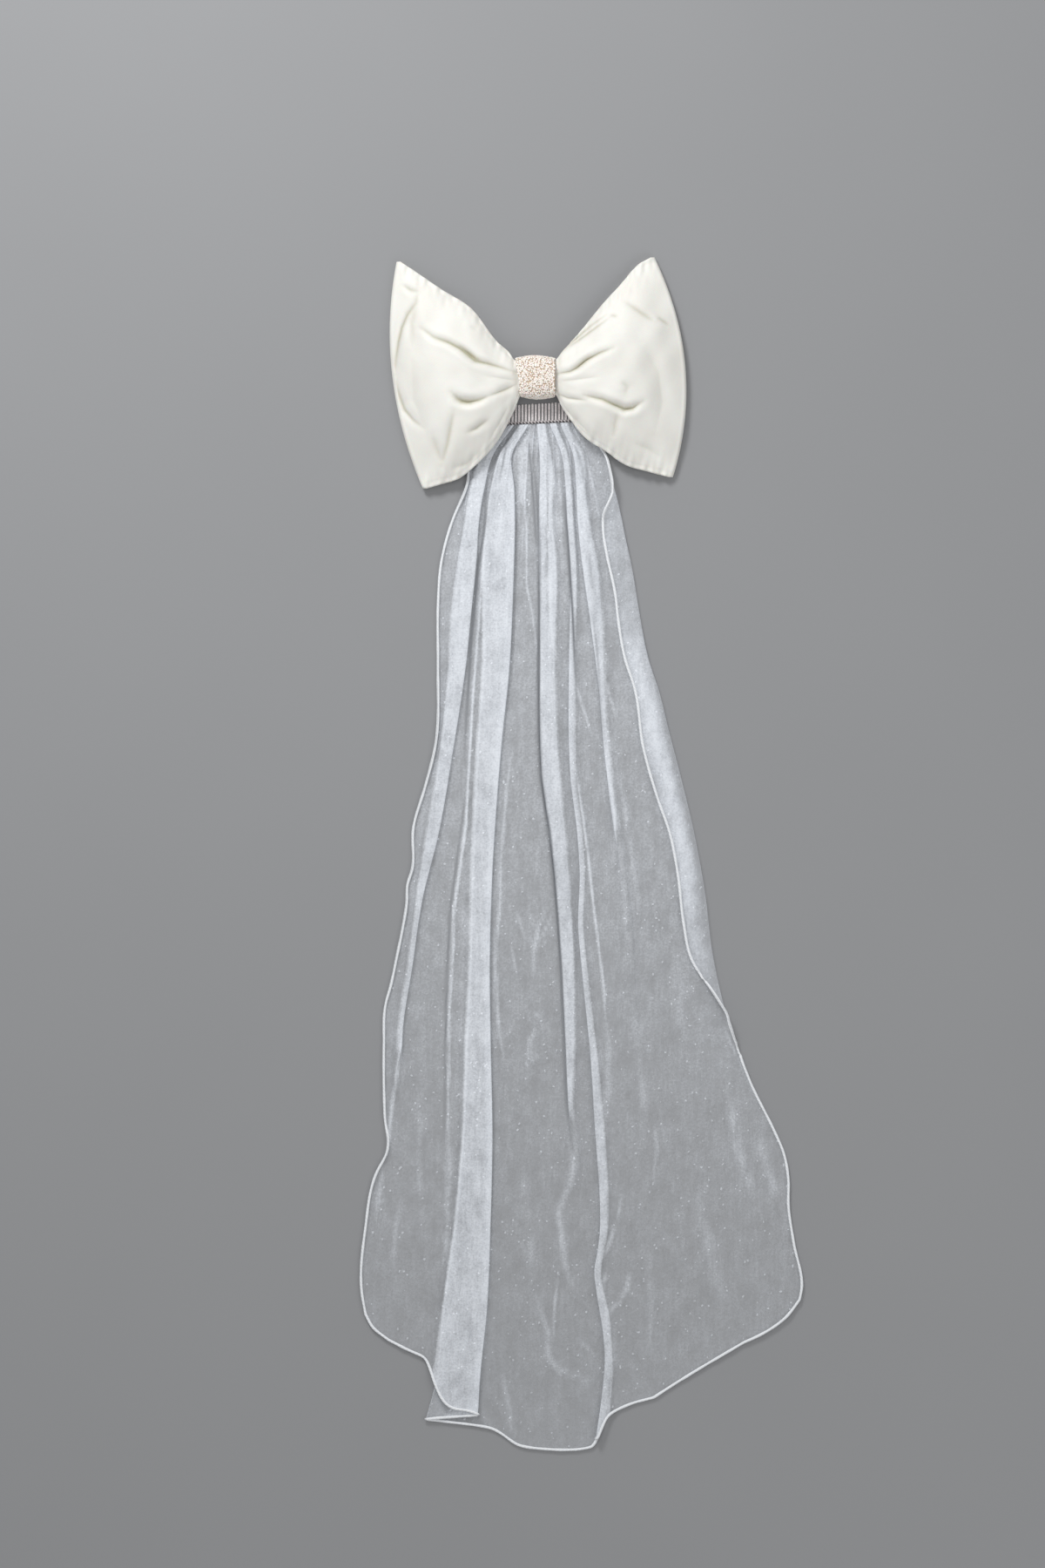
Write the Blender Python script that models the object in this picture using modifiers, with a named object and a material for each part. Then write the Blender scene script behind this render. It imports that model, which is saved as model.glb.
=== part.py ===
"""A bow-topped wedding veil, laid out flat with its bow at +Y and its hem at -Y.

The sheer panel is one sheet that runs from the comb to the hem. Down its length it is folded in
five Z-folds of three layers, and its right edge is turned back over it. A cord is sewn in along its free
edge. At the top sits a bow of two hollow cloth loops, held by a beaded band, over a wire comb.
All tables are in millimetres. X runs to the right, Y towards the bow, Z up from the table.
"""

import math

import bmesh
import bpy
import numpy as np
from mathutils import Vector

MM = 0.001
GAP = 0.3
# Moves every piece, so that the middle of the whole outline is at the origin
CENTRING = Vector((0.15, 1.77, 0))

# Driving sizes of the cloth
VEIL_TOP = 491.0
VEIL_WALL = 1.0
VEIL_REST = VEIL_WALL / 2
LAYER_STEP = 2.4
HEM_CORD_RADIUS = 1.3
HEM_CORD_HEIGHT = HEM_CORD_RADIUS + 0.2
HEM_LAYER_STEP = 3.2
# Shares of the way from the comb to the hem, between which the layers rise over the cord, and from which the
# cloth itself rises to the middle of the cord
HEM_LAYER_FROM, HEM_LAYER_TO = 0.93, 0.975
HEM_RISE_FROM = 0.985
STEEP_RAMP, EASY_RAMP = 2.0, 8.0
RAMP_EASES_FROM, RAMP_EASES_TO = 339, 219
TURN_DEPTH = 0.4
FOLD_CLEARANCE = 1.9
SHORTEST_RAMP, RAMP_SHARE_OF_ROOM = 1.4, 0.6
# Room outside a fold's turns, and past the last point of one that has run out
TURN_CLEARANCE, RUN_OUT_CLEARANCE = 1.1, 1.5
FLAP_TURN = 8.2
FLAP_LEAST = 5.0
FLAP_DROOP = 1.9
# The flap's share of its full size at the comb, and the length over which it grows to it
FLAP_SHARE_AT_COMB, FLAP_GROWTH = 0.25, 60
# The least turn of an edge that lies flat, as a share of half a circle
LEAST_TURN = 0.001
# How far round the turn, and how far on past it, each of the turned-back edge's points lies
FLAP_SHARES = ((0, 0), (0.25, 0), (0.5, 0), (0.75, 0), (1, 0), (1, 0.3), (1, 0.6), (1, 0.8), (1, 1))

# Driving sizes of the comb
COMB_LEFT, COMB_RIGHT = -89.0, -5.0
COMB_LEFT_Y, COMB_TILT = 492.4, 0.045
COIL_COUNT = 22
COIL_RADIUS = 1.7
# Where each coil reaches its full radius and leaves it, as shares of its width
COIL_RISES, COIL_FALLS = 0.3, 0.7
RAIL_RADIUS = 1.0
COMB_HEIGHT = COIL_RADIUS + 0.05
TOOTH_TIP_Y = 530.0
TOOTH_WIRE_RADIUS = 0.5
TOOTH_LEG_SPACING = 1.4

# Driving sizes of the bow
BOW_WALL = 1.6
BAND_WALL = 2.6
BAND_TOP, BAND_BOTTOM = 570.0, 520.0
BAND_LEFT_AT_TOP, BAND_LEFT_AT_BOTTOM, BAND_RIGHT = -76.0, -69.0, -31.0
BAND_UNDERSIDE, BAND_CREST = 2.6, 37.0
BAND_ROUNDNESS = 2.5
BAND_SWELL = 1.2
BAND_POINTS_AROUND, BAND_RINGS = 28, 6
CROWN_POWER = 2.6

# The veil's left edge: y, x
LEFT_EDGE = [
    (491, -91), (459, -123), (419, -132), (379, -148), (339, -159), (279, -164), (219, -164),
    (119, -168), (75, -179), (30, -192), (-21, -194), (-121, -210), (-221, -226), (-300, -225),
    (-345, -223), (-369, -235), (-430, -247), (-507, -251), (-529, -247),
]

# The veil's right outline, which is a turned edge down to y -215 and the cloth's own edge below: y, x
RIGHT_OUTLINE = [
    (491, -2), (459, 25), (427, 35), (402, 42), (359, 51), (327, 58), (284, 65), (219, 78),
    (189, 88), (137, 101), (91, 113), (24, 129), (-48, 142), (-113, 150), (-144, 156), (-192, 168),
    (-236, 182), (-265, 193), (-320, 220), (-343, 230), (-375, 236), (-404, 236), (-447, 242),
    (-502, 251), (-512, 249),
]

# Where the turned-back right edge lies on the sheet: y, x
FLAP_EDGE = [
    (491, -2), (459, 25), (427, 34), (409, 30), (388, 26), (368, 26), (343, 30), (296, 40),
    (269, 43), (223, 51), (189, 62), (121, 72), (64, 88), (24, 102), (-27, 112), (-79, 118),
    (-121, 127), (-156, 147), (-192, 161), (-225, 174), (-240, 184),
]
FLAP_FROM, FLAP_TO, FLAP_OPENING = 385, -145, 85

# The five Z-folds. Each row: y, left fold line, right fold line. The top layer hangs from the named side.
# A fold that ends short of the hem opens out over the length of its run-out.
Z_FOLDS = {
    "outer_left": {
        "top_edge": "right", "ends_at": -219, "run_out": 80, "beside": "left_edge",
        "rows": [
            (491, -83, -78), (459, -112, -101), (419, -127, -112), (379, -134, -118.5),
            (339, -141, -121), (279, -149, -127), (219, -152, -133), (119, -161, -147),
            (-21, -185, -173), (-121, -197, -192), (-221, -209.5, -206.5), (-300, -202, -198),
            (-345, -200, -196), (-430, -216, -212), (-529, -216, -212),
        ],
    },
    "broad": {
        "top_edge": "right", "ends_at": None, "run_out": None, "beside": "outer_left",
        "rows": [
            (491, -69.5, -61.5), (459, -91.5, -80), (419, -103.5, -78), (379, -109, -77), (339, -113, -78),
            (279, -113, -80), (219, -113, -83), (119, -120, -93), (-21, -126, -103),
            (-121, -128, -106), (-221, -133, -105), (-321, -136, -103), (-421, -145, -105),
            (-521, -159, -109), (-611, -168, -118), (-649, -178, -120),
        ],
    },
    "middle": {
        "top_edge": "left", "ends_at": -286.4, "run_out": 120, "beside": "narrow",
        "rows": [
            (491, -51, -44), (459, -48, -36), (379, -49, -34), (339, -49, -30), (219, -47, -32),
            (119, -48, -28), (-21, -32, -16), (-121, -23, -10), (-221, -18, -10), (-290, -15, -12.5),
        ],
    },
    "narrow": {
        "top_edge": "left", "ends_at": None, "run_out": None, "beside": "right",
        "rows": [
            (491, -36, -31), (459, -23, -18), (419, -18, -13), (379, -16, -11), (339, -13, -8),
            (219, -14, -9), (119, -15, -8), (-21, -4, 1), (-121, -3, 2), (-221, 9, 15),
            (-321, 16, 24), (-421, 22, 28), (-521, 20, 28), (-611, 22, 30), (-684, 19, 30),
        ],
    },
    "right": {
        "top_edge": "left", "ends_at": 71, "run_out": 360, "beside": "right_outline",
        "rows": [
            (491, -24, -18), (459, -10, 0), (419, -6, 4), (379, -4, 8), (339, 0, 16), (279, 8, 23),
            (219, 14, 24), (119, 24, 30), (62, 28, 31), (-221, 52, 57), (-684, 75, 80),
        ],
    },
}
FOLD_POINTS = 9
# How far from its own line each point of a fold lies where the fold has run out
RUN_OUT_SPREAD = (-13, -11, -9.5, -8, -7, -6, 6, 7, 8)

# The bottom hem in its three visible stretches: x, y
HEM_LEFT = [
    (-247, -529), (-240, -544), (-221, -558), (-196, -571), (-177, -578), (-171, -598),
    (-165, -618), (-158, -631), (-147, -638), (-130, -637), (-120, -642),
]
HEM_CENTRE = [
    (-178, -649), (-162, -646), (-136, -652), (-114, -656), (-93, -662), (-78, -677), (-64, -681),
    (-39, -684), (-10, -684), (10, -681), (18, -675), (30, -668),
]
HEM_RIGHT = [
    (20, -661), (24, -650), (30, -643), (47, -633), (82, -624), (105, -609), (134, -591),
    (163, -574), (192, -557), (209, -551), (229, -537), (242, -525), (249, -512),
]

# Where the broad and narrow folds meet the hem, for their points that no stretch above gives: y
BROAD_HEM = ["left"] * 4 + [-643, -644, -648, -649, "centre"]
NARROW_HEM = ["centre", -668, -667, -663, -661] + ["right"] * 4

# Rows of the veil's grid, as shares of the way from the comb to the hem
VEIL_ROWS = (
    0, 0.032, 0.045, 0.061, 0.078, 0.097, 0.13, 0.17, 0.21, 0.25, 0.29, 0.33, 0.37, 0.41, 0.45, 0.49,
    0.53, 0.57, 0.605, 0.635, 0.655, 0.675, 0.695, 0.715, 0.745, 0.78, 0.815, 0.855, 0.895, 0.93, 0.96, 0.98,
    0.993, 1,
)

# A bow loop, a row for each section from the throat to the outer fold:
# top x, top y, bottom x, bottom y, outward bulge, height of the front's edges, crown of the front,
# height of the back at its top edge and at its bottom edge
LEFT_LOOP = [
    (-54.5, 555, -54.5, 533, 0, 22, 3, 16.5, 16.5),
    (-76.5, 564, -69.5, 526, 0, 21.5, 5, 16.5, 16.5),
    (-84, 574, -78, 507, 1, 20, 10, 11, 12),
    (-101, 590, -95, 475, 3, 17, 19, 4, 8),
    (-127, 624, -116, 450, 8, 15, 25, 1.5, 7.3),
    (-161, 646, -140, 430, 13, 13, 24, 0.8, 7.2),
    (-190, 666, -161, 423, 18, 11, 15, 0.8, 1.6),
    (-208, 678, -178, 418, 20, 9, 4, 0.8, 0.8),
]
RIGHT_LOOP = [
    (-51.5, 555, -51.5, 533, 0, 22, 3, 16.5, 16.5),
    (-31, 564, -31, 526, 0, 21.5, 5, 16.5, 16.5),
    (-20, 577, -20, 507, 1, 20, 10, 11, 12),
    (2, 602, 3, 477, 4, 17, 19, 4, 8),
    (24, 629, 27, 461, 9, 15, 25, 1.5, 7.3),
    (43, 650, 50, 445, 15, 13, 24, 0.8, 7.2),
    (63, 673, 77, 437, 21, 11, 15, 0.8, 1.6),
    (79, 683, 100, 431, 25, 9, 4, 0.8, 0.8),
]
OUTER_FOLD_REACH = 4.0
FRONT_SECTIONS, BACK_SECTIONS, ACROSS = 15, 8, 13
OUTER_FOLD_ANGLES = (45, 90, 135)

# Creases pressed into the bow's fronts: depth, half width, and the line that each follows
LEFT_CREASES = [
    (5.5, 8, [(-186, 603), (-168, 589), (-148, 583), (-128, 570), (-92, 560), (-74, 549)]),
    (4.5, 7, [(-148, 524), (-135, 517), (-120, 519), (-90, 527)]),
    (3.5, 9, [(-148, 502), (-153, 469), (-161, 449)]),
    (2.0, 6, [(-187, 643), (-205, 612), (-211, 579), (-211, 522), (-197, 498)]),
]
RIGHT_CREASES = [
    (4.5, 7, [(-26, 547), (-13, 551), (7, 567), (32, 576)]),
    (5.5, 8, [(-26, 524), (-8, 517), (27, 517), (47, 509), (62, 508), (72, 515)]),
    (3.0, 6, [(-16, 581), (22, 604), (34, 616)]),
    (3.0, 8, [(50, 629), (77, 607)]),
    (2.0, 7, [(82, 617), (99, 603)]),
]

# Colours: red, green, blue, roughness, metallic
FINISHES = {
    "organza": (0.86, 0.90, 0.95, 0.55, 0.0),
    "hem_cord": (0.93, 0.94, 0.95, 0.5, 0.0),
    "ivory_crepe": (0.93, 0.92, 0.87, 0.6, 0.0),
    "seed_beads": (0.93, 0.84, 0.76, 0.25, 0.0),
    "silver_wire": (0.78, 0.76, 0.77, 0.25, 1.0),
}


def clear_scene():
    """Takes everything out of the scene."""
    for old in list(bpy.data.objects):
        bpy.data.objects.remove(old, do_unlink=True)


def finish(name):
    """The named finish as a material, made once."""
    found = bpy.data.materials.get(name)
    if found:
        return found
    red, green, blue, roughness, metallic = FINISHES[name]
    made = bpy.data.materials.new(name)
    made.use_nodes = True
    shader = made.node_tree.nodes["Principled BSDF"]
    shader.inputs["Base Color"].default_value = (red, green, blue, 1)
    shader.inputs["Roughness"].default_value = roughness
    shader.inputs["Metallic"].default_value = metallic
    made.diffuse_color = (red, green, blue, 1)
    return made


def place(name, data, finish_name):
    """An object of this data in the veil's collection, with its finish."""
    collection = bpy.data.collections.get("veil")
    if collection is None:
        collection = bpy.data.collections.new("veil")
        bpy.context.scene.collection.children.link(collection)
    made = bpy.data.objects.new(name, data)
    made.location = CENTRING * MM
    collection.objects.link(made)
    data.materials.append(finish(finish_name))
    return made


def sheet(name, points, wall, finish_name, closed=False):
    """A cloth wall of even thickness round a grid of points in mm, closed round its columns or open."""
    rows, columns = points.shape[:2]
    across = columns if closed else columns - 1
    index = np.arange(rows * columns).reshape(rows, columns)
    faces = [
        (
            index[row, column], index[row + 1, column],
            index[row + 1, (column + 1) % columns], index[row, (column + 1) % columns],
        )
        for row in range(rows - 1)
        for column in range(across)
    ]
    mesh = bpy.data.meshes.new(name)
    mesh.from_pydata((points.reshape(-1, 3) * MM).tolist(), [], [[int(v) for v in f] for f in faces])
    mesh.shade_smooth()
    made = place(name, mesh, finish_name)
    solidify = made.modifiers.new("wall", "SOLIDIFY")
    solidify.thickness = wall * MM
    solidify.offset = 0
    return made


def wire(name, points, radius, finish_name, resolution=1):
    """A round wire of this radius in mm along points in mm, with closed ends."""
    data = bpy.data.curves.new(name, "CURVE")
    data.dimensions = "3D"
    data.bevel_depth = radius * MM
    data.bevel_resolution = resolution
    data.use_fill_caps = True
    spline = data.splines.new("POLY")
    spline.points.add(len(points) - 1)
    for target, point in zip(spline.points, points):
        target.co = (*(Vector(point) * MM), 1)
    return place(name, data, finish_name)


def along(table, y, column=1):
    """A table's column at these heights y. Its first column is y, from the bow down."""
    table = np.array(table, float)[::-1]
    return np.interp(y, table[:, 0], table[:, column])


def smooth(value):
    """0 to 1 with a soft start and end."""
    value = np.clip(value, 0, 1)
    return value * value * (3 - 2 * value)


def smoothed_table(table, stations):
    """A table's rows at finer stations, on a curve through the rows (Catmull-Rom)."""
    table = np.array(table, float)
    padded = np.vstack([2 * table[0] - table[1], table, 2 * table[-1] - table[-2]])
    spots = np.clip(np.asarray(stations, float) * (len(table) - 1), 0, len(table) - 1)
    first = np.minimum(spots.astype(int), len(table) - 2)
    t = (spots - first)[:, None]
    a, b, c, d = (padded[first + k] for k in range(4))
    return b + t / 2 * (c - a + t * (2 * a - 5 * b + 4 * c - d + t * (3 * (b - c) + d - a)))


def distance_to_line(x, y, line):
    """The distance of each point from a line of straight runs, and how far along it, 0 to 1."""
    line = np.array(line, float)
    lengths = np.hypot(*(line[1:] - line[:-1]).T)
    starts = np.concatenate([[0], np.cumsum(lengths)])
    best = np.full(x.shape, np.inf)
    spot = np.zeros(x.shape)
    for (x0, y0), (x1, y1), length, start in zip(line[:-1], line[1:], lengths, starts):
        share = ((x - x0) * (x1 - x0) + (y - y0) * (y1 - y0)) / length**2
        share = np.clip(share, 0, 1)
        away = np.hypot(x - x0 - share * (x1 - x0), y - y0 - share * (y1 - y0))
        nearer = away < best
        best = np.where(nearer, away, best)
        spot = np.where(nearer, (start + share * length) / starts[-1], spot)
    return best, spot


def comb_y(x):
    """The height of the comb's rail, which lies a little askew."""
    return COMB_LEFT_Y + (np.asarray(x) - COMB_LEFT) * COMB_TILT


def ramp_length(fold, near, side, y):
    """How long the cloth takes to climb onto a fold: steep where it is gathered, easy where it has room."""
    if fold["beside"] == "left_edge":
        neighbour = along(LEFT_EDGE, y)
    elif fold["beside"] == "right_outline":
        neighbour = along(RIGHT_OUTLINE, y)
    else:
        neighbour = along(Z_FOLDS[fold["beside"]]["rows"], y, 2 if side > 0 else 1)
    room = np.abs(near - neighbour) - 2 * FOLD_CLEARANCE
    share = smooth((RAMP_EASES_FROM - y) / (RAMP_EASES_FROM - RAMP_EASES_TO))
    longest = STEEP_RAMP + (EASY_RAMP - STEEP_RAMP) * share
    return np.clip(room * RAMP_SHARE_OF_ROOM, SHORTEST_RAMP, longest)


def base_height(v):
    """The middle of the cloth where it rests. At the hem it rises to the middle of the cord."""
    share = smooth((v - HEM_RISE_FROM) / (1 - HEM_RISE_FROM))
    return VEIL_REST + (HEM_CORD_HEIGHT - VEIL_REST) * share


def layer_step(v):
    """The height from layer to layer, larger at the hem to make room for the cord."""
    share = smooth((v - HEM_LAYER_FROM) / (HEM_LAYER_TO - HEM_LAYER_FROM))
    return LAYER_STEP + (HEM_LAYER_STEP - LAYER_STEP) * share


def fold_point(fold, k, y, v):
    """Point k of a Z-fold's nine, as (x, z): up a ramp, along the top, round, back, round, and on.

    A fold that runs out first opens sideways, and then its layers come down to the table.
    """
    left, right = along(fold["rows"], y, 1), along(fold["rows"], y, 2)
    step, base = layer_step(v), base_height(v)
    if fold["top_edge"] == "right":
        near, far, side = left, right, 1
    else:
        near, far, side = right, left, -1
        k = FOLD_POINTS - 1 - k
    ramp = ramp_length(fold, near, side, y)
    turn = step * TURN_DEPTH
    places = (
        (near - side * (FOLD_CLEARANCE + ramp), 0), (near - side * FOLD_CLEARANCE, 2),
        ((near + far) / 2, 2), (far, 2), (far + side * turn, 1.65), (far, 1.25),
        (near, 0.75), (near - side * turn, 0.35), (near, 0),
    )
    x, layers = places[k]
    z = base + layers * step
    if fold["ends_at"] is None:
        return x, z
    past_end = 2 * (fold["ends_at"] - y) / fold["run_out"]
    flat_x = (left + right) / 2 + side * RUN_OUT_SPREAD[k]
    return x + (flat_x - x) * smooth(past_end), z + (base - z) * smooth(past_end - 1)


def flap_point(k, y, v):
    """Point k of the right edge's nine: along the table, round the turn, and on to the cloth's own edge.

    The turn's angle is half a circle where the edge is turned back, and nothing where it lies flat.
    """
    outline, edge = along(RIGHT_OUTLINE, y), along(FLAP_EDGE, y)
    opening = np.maximum((y - FLAP_FROM) / FLAP_OPENING, (FLAP_TO - y) / FLAP_OPENING)
    angle = math.pi * np.clip(1 - opening, LEAST_TURN, 1)
    gathered = np.clip(FLAP_SHARE_AT_COMB + (COMB_LEFT_Y - y) / FLAP_GROWTH, FLAP_SHARE_AT_COMB, 1)
    beyond = np.maximum(outline - FLAP_TURN / math.pi - edge, FLAP_LEAST * gathered)
    radius = FLAP_TURN * gathered / angle
    quarter = math.pi / 2
    reach = np.where(angle < quarter, radius * np.sin(angle) + beyond * np.cos(angle), radius)
    turned, straight = FLAP_SHARES[k]
    x = radius * np.sin(angle * turned) + beyond * straight * np.cos(angle)
    z = radius * (1 - np.cos(angle * turned)) + beyond * straight * np.sin(angle)
    folded = (angle / math.pi) ** 4
    z = z - FLAP_DROOP * straight * folded
    edge_rise = (HEM_CORD_HEIGHT - VEIL_REST) * straight**4 * (1 - folded)
    return outline - reach + x, np.maximum(base_height(v) + z, VEIL_REST + z + edge_rise)


def veil_columns():
    """The veil's columns from its left edge to its right one: (stretch of the hem, function of y and v)."""
    folds = Z_FOLDS

    def left_x(y, v):
        return along(LEFT_EDGE, y)

    def edge(y, v):
        return left_x(y, v), np.full_like(y, HEM_CORD_HEIGHT)

    def between(start, end, share):
        """A point on the table a share of the way from one point to another."""

        def point(y, v):
            from_x, to_x = start(y, v), end(y, v)
            return from_x + (to_x - from_x) * share, base_height(v)

        return point

    def fold_x(name, k):
        return lambda y, v: fold_point(folds[name], k, y, v)[0]

    def clear_of(name, side):
        """Just outside a fold's turns, on its left (-1) or right (1), or its last point where it has run out."""
        column, last, farther = {-1: (1, 0, np.minimum), 1: (2, FOLD_POINTS - 1, np.maximum)}[side]

        def x(y, v):
            past_turn = along(folds[name]["rows"], y, column) + side * (layer_step(v) / 2 + TURN_CLEARANCE)
            return farther(past_turn, fold_point(folds[name], last, y, v)[0] + side * RUN_OUT_CLEARANCE)

        return x

    def fold(name, hems):
        return [(hem, lambda y, v, k=k: fold_point(folds[name], k, y, v)) for k, hem in enumerate(hems)]

    def flap_x(k):
        return lambda y, v: flap_point(k, y, v)[0]

    def broad_top(share):
        def point(y, v):
            x0, z0 = fold_point(folds["broad"], 1, y, v)
            x1, z1 = fold_point(folds["broad"], 3, y, v)
            return x0 + (x1 - x0) * share, z0 + (z1 - z0) * share

        return point

    columns = [("left", edge)]
    columns += [("left", between(left_x, fold_x("outer_left", 0), share)) for share in (0.3, 0.75)]
    columns += fold("outer_left", ["left"] * FOLD_POINTS)
    columns += [
        ("left", between(clear_of("outer_left", 1), fold_x("broad", 0), share)) for share in (0.05, 0.4, 0.8)
    ]
    broad = fold("broad", BROAD_HEM)
    tops = [("left", broad_top(share)) for share in (0.25, 0.5, 0.75)]
    columns += broad[:2] + tops + broad[3:]
    columns += [
        ("centre", between(clear_of("broad", 1), clear_of("middle", -1), share)) for share in (0.05, 0.5, 0.95)
    ]
    columns += fold("middle", ["centre"] * FOLD_POINTS)
    columns += [("centre", between(fold_x("middle", 8), clear_of("narrow", -1), 0.7))]
    columns += fold("narrow", NARROW_HEM)
    columns += [("right", between(fold_x("narrow", 8), clear_of("right", -1), 0.7))]
    columns += fold("right", ["right"] * FOLD_POINTS)
    columns += [("right", between(fold_x("right", 8), flap_x(0), share)) for share in (0.3, 0.65)]
    columns += [("right", lambda y, v, k=k: flap_point(k, y, v)) for k in range(len(FLAP_SHARES))]
    return columns


def hem_y(stretch, column):
    """The height y at which a column meets the hem. A number says it outright."""
    if not isinstance(stretch, str):
        return stretch
    line = np.array({"left": HEM_LEFT, "centre": HEM_CENTRE, "right": HEM_RIGHT}[stretch], float)
    y = line[:, 1].mean()
    for _ in range(30):
        x = float(column(np.array([y]), np.array([1.0]))[0][0])
        y = (y + float(np.interp(x, line[:, 0], line[:, 1]))) / 2
    return y


def veil_points():
    """The middle of the veil's cloth as a grid: rows from the comb to the hem, columns across."""
    v = np.array(VEIL_ROWS, float)
    strands = []
    for stretch, column in veil_columns():
        top_x = float(column(np.array([VEIL_TOP]), np.array([0.0]))[0][0])
        top_y = comb_y(top_x) - COIL_RADIUS - GAP
        y = top_y + (hem_y(stretch, column) - top_y) * v
        x, z = column(y, v)
        strands.append(np.stack([x, y, np.broadcast_to(z, y.shape)], axis=1))
    return np.stack(strands, axis=1)


def outward(points, inner):
    """The way out of the cloth in its own plane, square to each run of its edge and mitred between them."""
    tangent = points[1:] - points[:-1]
    tangent /= np.linalg.norm(tangent, axis=1)[:, None]
    away = points - inner
    away /= np.linalg.norm(away, axis=1)[:, None]
    way = away[1:] + away[:-1]
    way -= (way * tangent).sum(1)[:, None] * tangent
    way /= np.linalg.norm(way, axis=1)[:, None]
    mitred = (way[1:] + way[:-1]) / (1 + (way[1:] * way[:-1]).sum(1))[:, None]
    return np.vstack([way[:1], mitred, way[-1:]])


def hem_route(grid):
    """The line of the hem's cord: down the left edge, along the bottom and up the right edge."""
    left, bottom = outward(grid[:, 0], grid[:, 2]), outward(grid[-1], grid[-2])
    right = outward(grid[:, -1], grid[:, -3])
    first_corner = (left[-1] + bottom[0]) / (1 + left[-1] @ bottom[0])
    second_corner = (right[-1] + bottom[-1]) / (1 + right[-1] @ bottom[-1])
    edge = np.vstack([grid[:-1, 0], grid[-1], grid[-2::-1, -1]])
    ways = np.vstack([left[:-1], first_corner, bottom[1:-1], second_corner, right[-2::-1]])
    return edge + (HEM_CORD_RADIUS + GAP) * ways


def make_veil():
    """The sheer panel and the cord in its hem."""
    grid = veil_points()
    sheet("veil_panel", grid, VEIL_WALL, "organza")
    wire("hem_cord", hem_route(grid), HEM_CORD_RADIUS, "hem_cord")


def loop_points(table, creases, side):
    """One bow loop as a grid: out along the front, round the outer fold, and back along the back."""
    t = np.linspace(-1, 1, ACROSS)
    belly = 1 - np.abs(t) ** CROWN_POWER

    def lines(stations):
        rows = smoothed_table(table, stations)[:, :, None]
        share = (t + 1) / 2
        x = rows[:, 2] + (rows[:, 0] - rows[:, 2]) * share + side * rows[:, 4] * (1 - t**2)
        y = rows[:, 3] + (rows[:, 1] - rows[:, 3]) * share
        front = rows[:, 5] + rows[:, 6] * belly
        back = rows[:, 8] + (rows[:, 7] - rows[:, 8]) * share
        return x, y, front, back

    x, y, z, _ = lines(np.linspace(0, 1, FRONT_SECTIONS))
    for depth, half_width, line in creases:
        away, spot = distance_to_line(x, y, line)
        z = z - depth * np.exp(-((away / half_width) ** 2)) * np.sin(math.pi * np.clip(spot, 0.12, 0.88))
    front = np.stack([x, y, z], axis=2)
    x, y, _, z = lines(np.linspace(1, 0, BACK_SECTIONS))
    back = np.stack([x, y, np.broadcast_to(z, x.shape)], axis=2)
    angles = np.radians(OUTER_FOLD_ANGLES)[:, None, None]
    middle, half = (front[-1] + back[0]) / 2, (front[-1] - back[0]) / 2
    turn = middle + half * np.cos(angles) + np.array([side * OUTER_FOLD_REACH, 0, 0]) * np.sin(angles)
    return np.concatenate([front, turn, back])


def make_bow():
    """The two loops of the bow and the band that gathers them."""
    sheet("bow_loop_left", loop_points(LEFT_LOOP, LEFT_CREASES, -1), BOW_WALL, "ivory_crepe")
    sheet("bow_loop_right", loop_points(RIGHT_LOOP, RIGHT_CREASES, 1), BOW_WALL, "ivory_crepe")
    inset = BAND_WALL / 2
    half_y, half_z = (BAND_TOP - BAND_BOTTOM) / 2 - inset, (BAND_CREST - BAND_UNDERSIDE) / 2 - inset
    centre_y, centre_z = (BAND_TOP + BAND_BOTTOM) / 2, (BAND_CREST + BAND_UNDERSIDE) / 2
    around = np.linspace(0, 2 * math.pi, BAND_POINTS_AROUND, endpoint=False)
    lengthwise = np.linspace(0, 1, BAND_RINGS)[:, None]
    power = 2 / BAND_ROUNDNESS
    unit_y = np.sign(np.cos(around)) * np.abs(np.cos(around)) ** power
    unit_z = np.sign(np.sin(around)) * np.abs(np.sin(around)) ** power
    swell = BAND_SWELL * np.sin(math.pi * lengthwise) - BAND_SWELL
    y = centre_y + (half_y + swell) * unit_y
    z = centre_z + (half_z + swell * (unit_z > 0)) * unit_z
    slant = (BAND_LEFT_AT_TOP - BAND_LEFT_AT_BOTTOM) / (BAND_TOP - BAND_BOTTOM)
    left = BAND_LEFT_AT_BOTTOM + slant * (y - BAND_BOTTOM)
    x = left + (BAND_RIGHT - left) * lengthwise
    sheet("beaded_band", np.stack([x, y, z], axis=2), BAND_WALL, "seed_beads", closed=True)


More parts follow.
